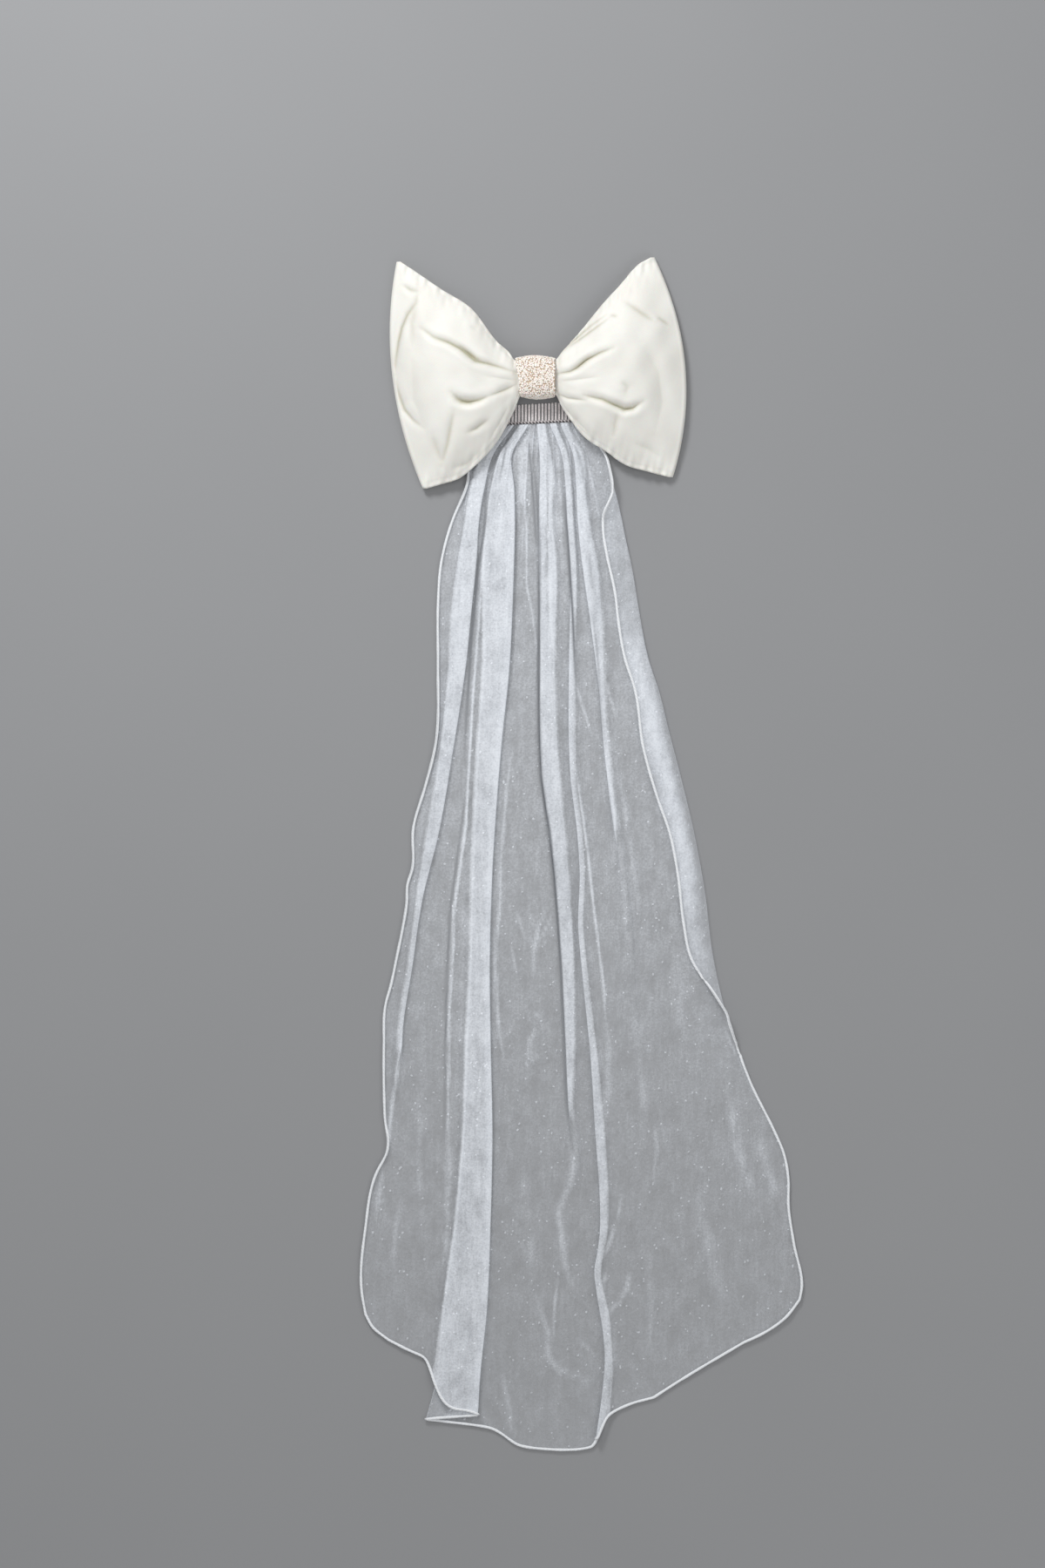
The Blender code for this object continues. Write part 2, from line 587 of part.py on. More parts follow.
def make_comb():
    """The comb: a rail wrapped in a wire coil, and a row of hairpin teeth that lie under the band."""
    pitch = (COMB_RIGHT - COMB_LEFT) / COIL_COUNT
    profile = []
    for coil in range(COIL_COUNT):
        start = coil * pitch
        profile += [
            (start, RAIL_RADIUS), (start + pitch * COIL_RISES, COIL_RADIUS), (start + pitch * COIL_FALLS, COIL_RADIUS),
        ]
    profile.append((COIL_COUNT * pitch, RAIL_RADIUS))
    work = bmesh.new()
    line = [work.verts.new((0, radius * MM, x * MM)) for x, radius in [(0, 0), *profile, (COIL_COUNT * pitch, 0)]]
    for first, second in zip(line[:-1], line[1:]):
        work.edges.new((first, second))
    bmesh.ops.spin(
        work, geom=work.verts[:] + work.edges[:], axis=(0, 0, 1), cent=(0, 0, 0),
        steps=8, angle=2 * math.pi, use_merge=True,
    )
    bmesh.ops.remove_doubles(work, verts=work.verts[:], dist=1e-6)
    bmesh.ops.recalc_face_normals(work, faces=work.faces[:])
    mesh = bpy.data.meshes.new("comb_rail")
    work.to_mesh(mesh)
    work.free()
    rail = place("comb_rail", mesh, "silver_wire")
    rail.rotation_euler = (0, math.radians(90), math.atan(COMB_TILT))
    rail.location = (Vector((COMB_LEFT, COMB_LEFT_Y, COMB_HEIGHT)) + CENTRING) * MM
    half = TOOTH_LEG_SPACING / 2
    for tooth in range(COIL_COUNT):
        x = COMB_LEFT + (tooth + 0.5) * pitch
        foot = float(comb_y(x)) + COIL_RADIUS + GAP + TOOTH_WIRE_RADIUS / 4
        bend = [(x - half * math.cos(a), TOOTH_TIP_Y + half * math.sin(a)) for a in np.linspace(0, math.pi, 3)]
        route = [(x - half, foot), *bend, (x + half, foot)]
        wire(
            f"comb_tooth_{tooth + 1:02d}", [(px, py, COMB_HEIGHT) for px, py in route],
            TOOTH_WIRE_RADIUS, "silver_wire", 1,
        )


def main():
    """Makes every piece of the veil."""
    clear_scene()
    make_veil()
    make_bow()
    make_comb()


main()
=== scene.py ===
"""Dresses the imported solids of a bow-topped bridal veil, which lies flat on a pale table.

The veil is one sheet of organza, gathered onto a wire comb and folded into long pleats, with a cord rolled
into its free edge. A crepe bow with a beaded knot sits over the comb. Tables and sizes are in millimetres.
X runs to the right, Y from the hem towards the bow, Z up from the table.
"""

from __future__ import annotations

import logging
import math
from collections.abc import Callable, Sequence
from dataclasses import dataclass
from enum import Enum
from functools import partial

import bmesh
import bpy
import numpy as np
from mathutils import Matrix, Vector

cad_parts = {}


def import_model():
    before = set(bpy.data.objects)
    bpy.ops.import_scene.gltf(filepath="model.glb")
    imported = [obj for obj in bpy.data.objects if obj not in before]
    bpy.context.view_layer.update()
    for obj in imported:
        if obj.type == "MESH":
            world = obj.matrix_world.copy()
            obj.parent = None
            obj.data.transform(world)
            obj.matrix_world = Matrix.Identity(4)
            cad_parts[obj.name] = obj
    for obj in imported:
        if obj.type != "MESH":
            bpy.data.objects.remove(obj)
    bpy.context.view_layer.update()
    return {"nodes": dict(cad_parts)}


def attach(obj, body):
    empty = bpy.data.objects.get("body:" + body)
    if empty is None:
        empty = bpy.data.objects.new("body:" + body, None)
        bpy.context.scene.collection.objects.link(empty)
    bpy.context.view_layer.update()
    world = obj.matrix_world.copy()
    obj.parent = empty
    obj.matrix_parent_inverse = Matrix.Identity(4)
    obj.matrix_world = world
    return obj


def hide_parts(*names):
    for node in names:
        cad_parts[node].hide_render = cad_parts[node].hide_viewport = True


LOG = logging.getLogger("veil")
MM = 0.001
CENTRING = np.array((0.15, 1.77, 0.0))
ONLY_BODY = "root"
LAYERS_SEEN_THROUGH = 32
# Nearly all of a noise texture's values lie in this range
NOISE_RANGE = (0.3, 0.7)

Table = Sequence[Sequence[float]]
Triple = tuple[float, float, float]
Pair = tuple[np.ndarray, np.ndarray]
Strand = Callable[[np.ndarray, np.ndarray], Pair]
Material = bpy.types.Material
Piece = bpy.types.Object
Socket = bpy.types.NodeSocket


class Side(Enum):
    """A side of the veil as seen from above, with its sign along X."""

    LEFT = -1
    RIGHT = 1


class Hem(Enum):
    """The stretch of the bottom hem that a strand of the cloth ends on."""

    LEFT = "left"
    CENTRE = "centre"
    RIGHT = "right"


# Working out shapes


def smooth_step(value: np.ndarray) -> np.ndarray:
    """0 to 1 with a soft start and end: 3 t squared less 2 t cubed."""
    t = np.clip(value, 0, 1)
    return t * t * (3 - 2 * t)


def read_table(table: Table, at: np.ndarray, column: int = 1) -> np.ndarray:
    """A table's column on a smooth curve through its rows.

    Each span is a cubic (Hermite) between two rows, with the slope at a row taken from the rows beside it.

    Args:
        table: rows that start with y, from the bow down to the hem.
        at: the heights y to read it at, held at the first and last row.
        column: which column to read.

    Returns:
        The column's value at each height.
    """
    rows = np.array(table, float)[::-1]
    knots, values = rows[:, 0], rows[:, column]
    slopes = np.gradient(values, knots)
    first = np.clip(np.searchsorted(knots, at) - 1, 0, len(knots) - 2)
    span = knots[first + 1] - knots[first]
    t = np.clip((at - knots[first]) / span, 0, 1)
    start = (1 + 2 * t) * (1 - t) ** 2 * values[first] + t * (1 - t) ** 2 * span * slopes[first]
    end = t * t * (3 - 2 * t) * values[first + 1] - t * t * (1 - t) * span * slopes[first + 1]
    return start + end


def smooth_rows(table: Table, stations: np.ndarray) -> np.ndarray:
    """A table's rows at finer stations, on a curve through the rows (Catmull-Rom).

    Args:
        table: the rows, at equal steps of the curve.
        stations: where to read them, 0 at the first row and 1 at the last.

    Returns:
        One row for each station.
    """
    rows = np.array(table, float)
    padded = np.vstack([2 * rows[0] - rows[1], rows, 2 * rows[-1] - rows[-2]])
    spots = np.clip(np.asarray(stations, float) * (len(rows) - 1), 0, len(rows) - 1)
    first = np.minimum(spots.astype(int), len(rows) - 2)
    t = (spots - first)[:, None]
    a, b, c, d = (padded[first + k] for k in range(4))
    return b + t / 2 * (c - a + t * (2 * a - 5 * b + 4 * c - d + t * (3 * (b - c) + d - a)))


def soften_across(grid: np.ndarray, stations: np.ndarray) -> np.ndarray:
    """A grid of control points read on a uniform cubic B-spline across its columns.

    Args:
        grid: control points, rows by columns by 3.
        stations: where to read them, in columns. The first and last columns are kept.

    Returns:
        The finer grid, rows by stations by 3.
    """
    first_out = 2 * grid[:, :1] - grid[:, 1:2]
    last_out = 2 * grid[:, -1:] - grid[:, -2:-1]
    padded = np.concatenate([first_out, grid, last_out], axis=1)
    first = np.minimum(stations.astype(int), grid.shape[1] - 2)
    t = (stations - first)[None, :, None]
    weights = (
        (1 - t) ** 3, 3 * t**3 - 6 * t**2 + 4, -3 * t**3 + 3 * t**2 + 3 * t + 1, t**3,
    )
    return sum(weight * padded[:, first + k] for k, weight in enumerate(weights)) / 6


def from_line(x: np.ndarray, y: np.ndarray, line: Table) -> Pair:
    """The signed distance of points from a line of straight runs, and the share of the way along it.

    Args:
        x: the points' x.
        y: the points' y.
        line: the line's corners, x and y.

    Returns:
        The distance, positive on the line's left, and the share, 0 at its start and 1 at its end.
    """
    corners = np.array(line, float)
    runs = corners[1:] - corners[:-1]
    lengths = np.hypot(runs[:, 0], runs[:, 1])
    starts = np.concatenate([[0], np.cumsum(lengths)])
    best, share = np.full(x.shape, np.inf), np.zeros(x.shape)
    for (x0, y0), (dx, dy), length, start in zip(corners[:-1], runs, lengths, starts):
        along = np.clip(((x - x0) * dx + (y - y0) * dy) / length**2, 0, 1)
        away_x, away_y = x - x0 - along * dx, y - y0 - along * dy
        away = np.hypot(away_x, away_y)
        nearer = away < np.abs(best)
        best = np.where(nearer, np.where(dx * away_y - dy * away_x < 0, -away, away), best)
        share = np.where(nearer, (start + along * length) / starts[-1], share)
    return best, share


def ripples(x: np.ndarray, y: np.ndarray, waves: Table) -> np.ndarray:
    """The sum of plane waves, from -1 to 1, as an uneven soft relief.

    Args:
        x: the points' x.
        y: the points' y.
        waves: rows of wave length along x, wave length along y, and phase in turns.

    Returns:
        The mean of the waves' sines.
    """
    total = np.zeros(x.shape)
    for across, down, phase in waves:
        total += np.sin(2 * math.pi * (x / across + y / down + phase))
    return total / len(waves)


def unit(vectors: np.ndarray) -> np.ndarray:
    """Vectors at length 1."""
    return vectors / np.maximum(np.linalg.norm(vectors, axis=-1, keepdims=True), 1e-9)


def bell(away: np.ndarray, half_width: np.ndarray | float) -> np.ndarray:
    """1 on a line and nothing far from it: e to the minus of the distance over the half width, squared."""
    return np.exp(-((away / half_width) ** 2))


def faded(share: np.ndarray, margin: float, power: float) -> np.ndarray:
    """1 half way along a line and low at its ends: half a sine wave to a power."""
    return np.sin(math.pi * np.clip(share, margin, 1 - margin)) ** power


def run_length(path: np.ndarray) -> np.ndarray:
    """The way along a path, from its first point to each of its points."""
    return np.concatenate([[0], np.cumsum(np.linalg.norm(np.diff(path, axis=0), axis=1))])


def cloth_uv(across: np.ndarray, down: np.ndarray) -> np.ndarray:
    """The place of a grid's points on the flat cloth, one pair a point."""
    return np.stack(np.broadcast_arrays(across[None, :], down[:, None]), axis=-1).reshape(-1, 2)


# Making meshes


def grid_faces(rows: int, columns: int, closed: bool = False) -> np.ndarray:
    """The four-cornered faces of a grid of points, closed round its columns or open."""
    index = np.arange(rows * columns).reshape(rows, columns)
    if closed:
        index = np.hstack([index, index[:, :1]])
    corners = (index[:-1, :-1], index[1:, :-1], index[1:, 1:], index[:-1, 1:])
    return np.stack(corners, axis=-1).reshape(-1, 4)


def make_piece(
    name: str,
    points: np.ndarray,
    faces: np.ndarray,
    material: Material,
    uv: np.ndarray | None = None,
    marks: dict[str, np.ndarray] | None = None,
) -> Piece:
    """A smooth mesh piece, with its place in its mesh.

    Args:
        name: the piece's name.
        points: points in mm, one a row.
        faces: corner indices, one face a row.
        material: the piece's finish.
        uv: the cloth's own coordinates in metres, one pair a point.
        marks: named numbers on the points, for the finish to read.

    Returns:
        The new object, linked to the scene.
    """
    mesh = bpy.data.meshes.new(name)
    mesh.vertices.add(len(points))
    mesh.vertices.foreach_set("co", ((points + CENTRING) * MM).astype(np.float32).ravel())
    mesh.loops.add(faces.size)
    mesh.loops.foreach_set("vertex_index", faces.astype(np.int32).ravel())
    mesh.polygons.add(len(faces))
    mesh.polygons.foreach_set("loop_start", np.arange(0, faces.size, faces.shape[1], dtype=np.int32))
    mesh.update(calc_edges=True)
    if uv is not None:
        layer = mesh.uv_layers.new(name="Cloth")
        layer.data.foreach_set("uv", uv[faces.ravel()].astype(np.float32).ravel())
    for mark, values in (marks or {}).items():
        mesh.attributes.new(mark, "FLOAT", "POINT").data.foreach_set("value", values.astype(np.float32))
    mesh.shade_smooth()
    mesh.materials.append(material)
    piece = bpy.data.objects.new(name, mesh)
    bpy.context.scene.collection.objects.link(piece)
    return piece


def weld(piece: Piece, within: float = 1e-6) -> None:
    """Merges a piece's coincident points, which closes its seams and poles, and turns its faces outwards."""
    work = bmesh.new()
    work.from_mesh(piece.data)
    bmesh.ops.remove_doubles(work, verts=work.verts[:], dist=within)
    bmesh.ops.recalc_face_normals(work, faces=work.faces[:])
    work.to_mesh(piece.data)
    work.free()


def thicken(piece: Piece, wall: float) -> None:
    """Gives a cloth surface an even wall in mm, half on each side."""
    solidify = piece.modifiers.new("wall", "SOLIDIFY")
    solidify.thickness = wall * MM
    solidify.offset = 0
    solidify.use_even_offset = True


def tube(path: np.ndarray, radius: np.ndarray | float, across: np.ndarray, sides: int) -> Pair:
    """A round tube along a path, with closed ends.

    Each ring is the path's point plus radius times (cosine of the angle times one side vector plus sine of
    the angle times the other). The side vectors are square to the path. The end rings shrink to a point.

    Args:
        path: the middle of the tube, one point a row.
        radius: its radius, one for all or one a point.
        across: a direction that isn't along the path, one for all or one a point.
        sides: how many sides it has.

    Returns:
        Its points and its four-cornered faces.
    """
    tangent = unit(np.gradient(path, axis=0))
    first = np.broadcast_to(across, path.shape)
    first = unit(first - (first * tangent).sum(-1, keepdims=True) * tangent)
    second = np.cross(tangent, first)
    angle = np.linspace(0, 2 * math.pi, sides, endpoint=False)[None, :, None]
    radius = np.broadcast_to(np.asarray(radius, float), len(path))[:, None, None]
    rings = path[:, None] + radius * (np.cos(angle) * first[:, None] + np.sin(angle) * second[:, None])
    ends = [np.repeat(path[k][None, None], sides, axis=1) for k in (0, -1)]
    rings = np.concatenate([ends[0], rings, ends[1]])
    return rings.reshape(-1, 3), grid_faces(len(rings), sides, closed=True)


def joined(parts: Sequence[Pair]) -> Pair:
    """Several meshes' points and faces as one."""
    starts = np.cumsum([0, *(len(points) for points, _ in parts[:-1])])
    faces = [faces + start for (_, faces), start in zip(parts, starts)]
    return np.concatenate([points for points, _ in parts]), np.concatenate(faces)


# Finishes


@dataclass
class Shader:
    """A material under construction, with short ways to add its nodes."""

    material: Material

    @classmethod
    def start(cls, name: str, colour: Sequence[float], roughness: float, metallic: float = 0.0) -> Shader:
        """A new material whose Principled shader has these plain values."""
        material = bpy.data.materials.new(name)
        material.use_nodes = True
        made = cls(material)
        made.socket("Base Color").default_value = (*colour, 1)
        made.socket("Roughness").default_value = roughness
        made.socket("Metallic").default_value = metallic
        material.diffuse_color = (*colour, 1)
        return made

    def socket(self, name: str) -> Socket:
        """One of the Principled shader's inputs."""
        return self.material.node_tree.nodes["Principled BSDF"].inputs[name]

    def plain(self, values: dict[str, float]) -> None:
        """Gives more of the Principled shader's inputs a plain value."""
        for name, value in values.items():
            self.socket(name).default_value = value

    def node(self, kind: str, **settings: object) -> bpy.types.Node:
        """A new node with these settings."""
        made = self.material.node_tree.nodes.new(kind)
        for setting, value in settings.items():
            setattr(made, setting, value)
        return made

    def link(self, start: Socket, end: Socket) -> None:
        """Joins an output to an input."""
        self.material.node_tree.links.new(start, end)

    def object_coordinates(self) -> Socket:
        """The piece's own coordinates, in metres."""
        return self.node("ShaderNodeTexCoord").outputs["Object"]

    def cloth_coordinates(self) -> Socket:
        """The cloth's own coordinates along its two threads, in metres."""
        return self.node("ShaderNodeUVMap", uv_map="Cloth").outputs["UV"]

    def stretched(self, where: Socket, scale: Sequence[float]) -> Socket:
        """Coordinates scaled along each axis."""
        made = self.node("ShaderNodeMapping")
        made.inputs["Scale"].default_value = scale
        self.link(where, made.inputs["Vector"])
        return made.outputs["Vector"]

    def mark(self, name: str) -> Socket:
        """A number that the piece's points carry."""
        return self.node("ShaderNodeAttribute", attribute_name=name).outputs["Fac"]

    def noise(self, where: Socket, scale: float, detail: float = 2.0, rough: float = 0.5) -> Socket:
        """Soft noise, 0 to 1, with about this many lumps a metre."""
        made = self.node("ShaderNodeTexNoise")
        made.inputs["Scale"].default_value = scale
        made.inputs["Detail"].default_value = detail
        made.inputs["Roughness"].default_value = rough
        self.link(where, made.inputs["Vector"])
        return made.outputs["Fac"]

    def cells(self, where: Socket, scale: float) -> Socket:
        """Random cells, about this many a metre."""
        made = self.node("ShaderNodeTexVoronoi")
        made.inputs["Scale"].default_value = scale
        self.link(where, made.inputs["Vector"])
        return made.outputs["Color"]

    def threads(self, where: Socket, scale: float, direction: str) -> Socket:
        """Fine lines, as the threads of a weave make, 0 to 1, closer at a larger scale."""
        made = self.node("ShaderNodeTexWave", bands_direction=direction)
        made.inputs["Scale"].default_value = scale
        made.inputs["Distortion"].default_value = 0.6
        made.inputs["Detail"].default_value = 1.0
        self.link(where, made.inputs["Vector"])
        return made.outputs["Fac"]

    def maths(self, operation: str, first: object, second: object = 0.0, clamp: bool = False) -> Socket:
        """The result of one operation on two sockets or numbers."""
        made = self.node("ShaderNodeMath", operation=operation, use_clamp=clamp)
        for spot, value in enumerate((first, second)):
            if isinstance(value, Socket):
                self.link(value, made.inputs[spot])
            else:
                made.inputs[spot].default_value = value
        return made.outputs[0]

    def spread(self, value: Socket, low: float, high: float, to_low: float, to_high: float) -> Socket:
        """A value from low to high moved to another range and held there."""
        made = self.node("ShaderNodeMapRange")
        self.link(value, made.inputs["Value"])
        for name, number in (("From Min", low), ("From Max", high), ("To Min", to_low), ("To Max", to_high)):
            made.inputs[name].default_value = number
        return made.outputs["Result"]

    def between(self, share: Socket, first: Sequence[float] | Socket, second: Sequence[float]) -> Socket:
        """A colour between two, by a share from 0 to 1. The first may come from other nodes."""
        made = self.node("ShaderNodeMix", data_type="RGBA")
        self.link(share, made.inputs["Factor"])
        if isinstance(first, Socket):
            self.link(first, made.inputs["A"])
        else:
            made.inputs["A"].default_value = (*first, 1)
        made.inputs["B"].default_value = (*second, 1)
        return made.outputs["Result"]

    def relief(self, height: Socket, depth: float, strength: float = 1.0) -> None:
        """Bumps the surface by a height from 0 to 1 times the depth in mm."""
        bump = self.node("ShaderNodeBump")
        bump.inputs["Distance"].default_value = depth * MM
        bump.inputs["Strength"].default_value = strength
        self.link(height, bump.inputs["Height"])
        self.link(bump.outputs["Normal"], self.socket("Normal"))


@dataclass(frozen=True)
class OrganzaFinish:
    """Sheer crisp organza: see-through, with a fine weave and a faint sparkle, fuller where gathered, and
    with painted shade in the gaps beside its overhanging edges.
    """

    colour: Triple = (0.90, 0.94, 1.0)
    painted_gap_shade_colour: Triple = (0.13, 0.14, 0.16)
    painted_gap_shade_share: float = 0.7
    roughness: float = 0.42
    one_layer: float = 0.26
    weave_scale: float = 143.3121
    weave_depth: float = 0.06
    weave_relief: float = 0.05
    grain_per_metre: float = 430
    grain_depth: float = 0.26
    clouds_per_metre: float = 46
    cloud_stretch: Triple = (1, 0.7, 1)
    cloud_detail: float = 7
    cloud_roughness: float = 0.68
    cloud_depth: float = 0.46
    streaks_per_metre: float = 230
    streak_stretch: Triple = (1, 0.12, 1)
    streak_depth: float = 0.14
    sparkle_cells: float = 560
    sparkle_share: float = 0.075
    sparkle_gain: float = 0.36

    def make(self) -> Material:
        """The organza's material.

        The share of light it stops is 1 less (1 less one layer's share) to the power of its layers. One
        layer's share varies with the weave, the grain, streaks and clouds. Glints add to what it stops. In
        the gaps beside overhanging edges, painted shade makes it stop more and darkens its colour.
        """
        shader = Shader.start("organza", self.colour, self.roughness)
        cloth, place = shader.cloth_coordinates(), shader.object_coordinates()
        warp = shader.threads(cloth, self.weave_scale, "X")
        weft = shader.threads(cloth, self.weave_scale, "Y")
        weave = shader.maths("ADD", warp, weft)
        grain = shader.noise(place, self.grain_per_metre)
        cloudy = shader.noise(
            shader.stretched(place, self.cloud_stretch), self.clouds_per_metre, self.cloud_detail,
            self.cloud_roughness,
        )
        streaks = shader.noise(shader.stretched(place, self.streak_stretch), self.streaks_per_metre)
        layers = shader.maths("ADD", shader.mark("fullness"), 1.0)
        one_layer = shader.spread(
            weave, 0, 2, self.one_layer * (1 - self.weave_depth), self.one_layer * (1 + self.weave_depth)
        )
        for uneven, depth in (
            (cloudy, self.cloud_depth), (streaks, self.streak_depth), (grain, self.grain_depth),
        ):
            shares = shader.spread(uneven, *NOISE_RANGE, 1 - depth, 1 + depth)
            one_layer = shader.maths("MULTIPLY", one_layer, shares)
        clear = shader.maths("POWER", shader.maths("SUBTRACT", 1.0, one_layer), layers)
        alpha = shader.maths("SUBTRACT", 1.0, clear)
        glint = shader.maths("GREATER_THAN", shader.cells(place, self.sparkle_cells), 1 - self.sparkle_share)
        alpha = shader.maths("ADD", alpha, shader.maths("MULTIPLY", glint, self.sparkle_gain), clamp=True)
        # Painted shade: in the gaps beside overhanging edges the cloth is made more opaque and its colour
        # darkened
        painted_gap_shade = shader.mark("painted_gap_shade")
        alpha = shader.maths("MAXIMUM", alpha, shader.maths("MULTIPLY", painted_gap_shade, self.painted_gap_shade_share))
        shader.link(alpha, shader.socket("Alpha"))
        shader.link(shader.between(painted_gap_shade, self.colour, self.painted_gap_shade_colour), shader.socket("Base Color"))
        shader.plain({"Sheen Weight": 0.35, "Sheen Roughness": 0.4, "Specular IOR Level": 0.6})
        shader.relief(weave, self.weave_relief)
        return shader.material


@dataclass(frozen=True)
class CordFinish:
    """The rolled hem: a cord covered with organza and overcast with fine thread."""

    colour: Triple = (0.96, 0.98, 1.0)
    shade: Triple = (0.85, 0.88, 0.93)
    roughness: float = 0.5
    stitch_scale: float = 143.3121
    stitch_relief: float = 0.25
    wear_per_metre: float = 160

    def make(self) -> Material:
        """The hem cord's material."""
        shader = Shader.start("hem_cord", self.colour, self.roughness)
        cloth = shader.cloth_coordinates()
        overcast = shader.threads(cloth, self.stitch_scale, "DIAGONAL")
        worn = shader.noise(cloth, self.wear_per_metre)
        tint = shader.spread(shader.maths("ADD", overcast, worn), 0.3, 1.6, 0, 1)
        shader.link(shader.between(tint, self.shade, self.colour), shader.socket("Base Color"))
        shader.relief(overcast, self.stitch_relief)
        shader.plain({"Sheen Weight": 0.3})
        return shader.material


@dataclass(frozen=True)
class CrepeFinish:
    """Smooth ivory crepe, matt with a faint grain, with painted olive shade in its creases."""

    colour: Triple = (0.90, 0.885, 0.835)
    shade: Triple = (0.85, 0.83, 0.775)
    painted_crease_shade: Triple = (0.42, 0.40, 0.27)
    roughness: float = 0.58
    grain_per_metre: float = 1500
    grain_relief: float = 0.12
    twill_scale: float = 187.5
    twill_share: float = 0.35
    patches_per_metre: float = 18

    def make(self) -> Material:
        """The crepe's material, darkened towards olive by painted shade where the loops' creases run."""
        shader = Shader.start("ivory_crepe", self.colour, self.roughness)
        cloth = shader.cloth_coordinates()
        grain = shader.noise(cloth, self.grain_per_metre)
        twill = shader.threads(cloth, self.twill_scale, "DIAGONAL")
        patch = shader.noise(cloth, self.patches_per_metre, 3)
        body = shader.between(shader.spread(patch, 0.32, 0.6, 0, 1), self.shade, self.colour)
        # Painted shade: the crease mark mixes the colour towards a dark olive in the creases
        tint = shader.between(shader.mark("crease"), body, self.painted_crease_shade)
        shader.link(tint, shader.socket("Base Color"))
        height = shader.maths("ADD", grain, shader.maths("MULTIPLY", twill, self.twill_share))
        shader.relief(height, self.grain_relief, 0.8)
        shader.link(shader.spread(grain, *NOISE_RANGE, 0.5, 0.66), shader.socket("Roughness"))
        shader.plain({"Sheen Weight": 0.25, "Sheen Roughness": 0.5})
        shader.plain({"Subsurface Weight": 0.06, "Subsurface Scale": 0.004})
        return shader.material


@dataclass(frozen=True)
class BeadFinish:
    """Pearly seed beads, from cream to pale pink, each a little different."""

    cream: Triple = (1.0, 0.935, 0.86)
    pink: Triple = (1.0, 0.82, 0.74)
    roughness: float = 0.18
    streaks_per_metre: float = 900

    def make(self) -> Material:
        """The beads' material."""
        shader = Shader.start("seed_beads", self.cream, self.roughness)
        shader.link(shader.between(shader.mark("tint"), self.cream, self.pink), shader.socket("Base Color"))
        streak = shader.noise(shader.object_coordinates(), self.streaks_per_metre)
        shader.link(shader.spread(streak, *NOISE_RANGE, 0.12, 0.34), shader.socket("Roughness"))
        shader.plain({"Coat Weight": 0.6, "Coat Roughness": 0.1})
        shader.plain({"Subsurface Weight": 0.1, "Subsurface Scale": 0.001})
        return shader.material


@dataclass(frozen=True)
class BandFinish:
    """The tan cloth that shows in the gaps between the beads."""

    colour: Triple = (0.82, 0.64, 0.47)
    darkest: float = 0.7
    roughness: float = 0.7
    threads_per_metre: float = 1400
    thread_relief: float = 0.15

    def make(self) -> Material:
        """The band's material."""
        shader = Shader.start("band_ground", self.colour, self.roughness)
        thread = shader.noise(shader.object_coordinates(), self.threads_per_metre)
        darker = tuple(channel * self.darkest for channel in self.colour)
        shader.link(shader.between(thread, self.colour, darker), shader.socket("Base Color"))
        shader.relief(thread, self.thread_relief)
        return shader.material


@dataclass(frozen=True)
class WireFinish:
    """Bright silver-coloured wire with a faint pink cast and fine drawing marks, and painted shade on the
    rail inside the coil.
    """

    colour: Triple = (1.0, 0.95, 0.955)
    tarnish: Triple = (0.86, 0.80, 0.80)
    painted_coil_shade: Triple = (0.10, 0.085, 0.085)
    roughness: float = 0.22
    metallic: float = 0.15
    marks_per_metre: float = 700
    patches_per_metre: float = 120

    def make(self) -> Material:
        """The comb wire's material, with the rail inside the coil painted dark as shade."""
        shader = Shader.start("silver_wire", self.colour, self.roughness, self.metallic)
        marks = shader.noise(shader.object_coordinates(), self.marks_per_metre, 3)
        shader.link(shader.spread(marks, *NOISE_RANGE, 0.16, 0.38), shader.socket("Roughness"))
        patches = shader.noise(shader.object_coordinates(), self.patches_per_metre)
        bright = shader.between(shader.spread(patches, 0.45, 0.75, 0, 1), self.colour, self.tarnish)
        # Painted shade: the rail inside the coil is coloured nearly black
        shader.link(shader.between(shader.mark("painted_coil_shade"), bright, self.painted_coil_shade), shader.socket("Base Color"))
        return shader.material


@dataclass(frozen=True)
class TableFinish:
    """The pale table top."""

    colour: Triple = (0.30, 0.305, 0.315)
    palest: float = 1.05
    roughness: float = 0.7
    clouds_per_metre: float = 3

    def make(self) -> Material:
        """The table's material."""
        shader = Shader.start("pale_table", self.colour, self.roughness)
        soft = shader.noise(shader.object_coordinates(), self.clouds_per_metre)
        paler = tuple(channel * self.palest for channel in self.colour)
        shader.link(shader.between(soft, self.colour, paler), shader.socket("Base Color"))
        return shader.material


# The veil


@dataclass(frozen=True)
class ZFold:
    """A long pleat of three layers.

    Attributes:
        top_edge: the side from which the top layer hangs over.
        beside: the fold or edge that its ramp comes down towards.
        rows: y, x of the left fold line, x of the right fold line.
        ends_at: the height at which it starts to open out, or None where it reaches the hem.
        run_out: the length over which it opens out and comes down.
    """

    top_edge: Side
    beside: str
    rows: Table
    ends_at: float | None = None
    run_out: float = 0.0


@dataclass(frozen=True)
class Crease:
    """A soft ridge or trough pressed into the cloth.

    Attributes:
        height: how far it stands up, negative for a trough.
        half_width: its half width.
        line: the line that it follows, x and y.
        fullness: how many more layers it looks like on the veil; for a gap line, or on the bow, how deep
        its painted shade is.
    """

    height: float
    half_width: float
    line: Table
    fullness: float = 0.0


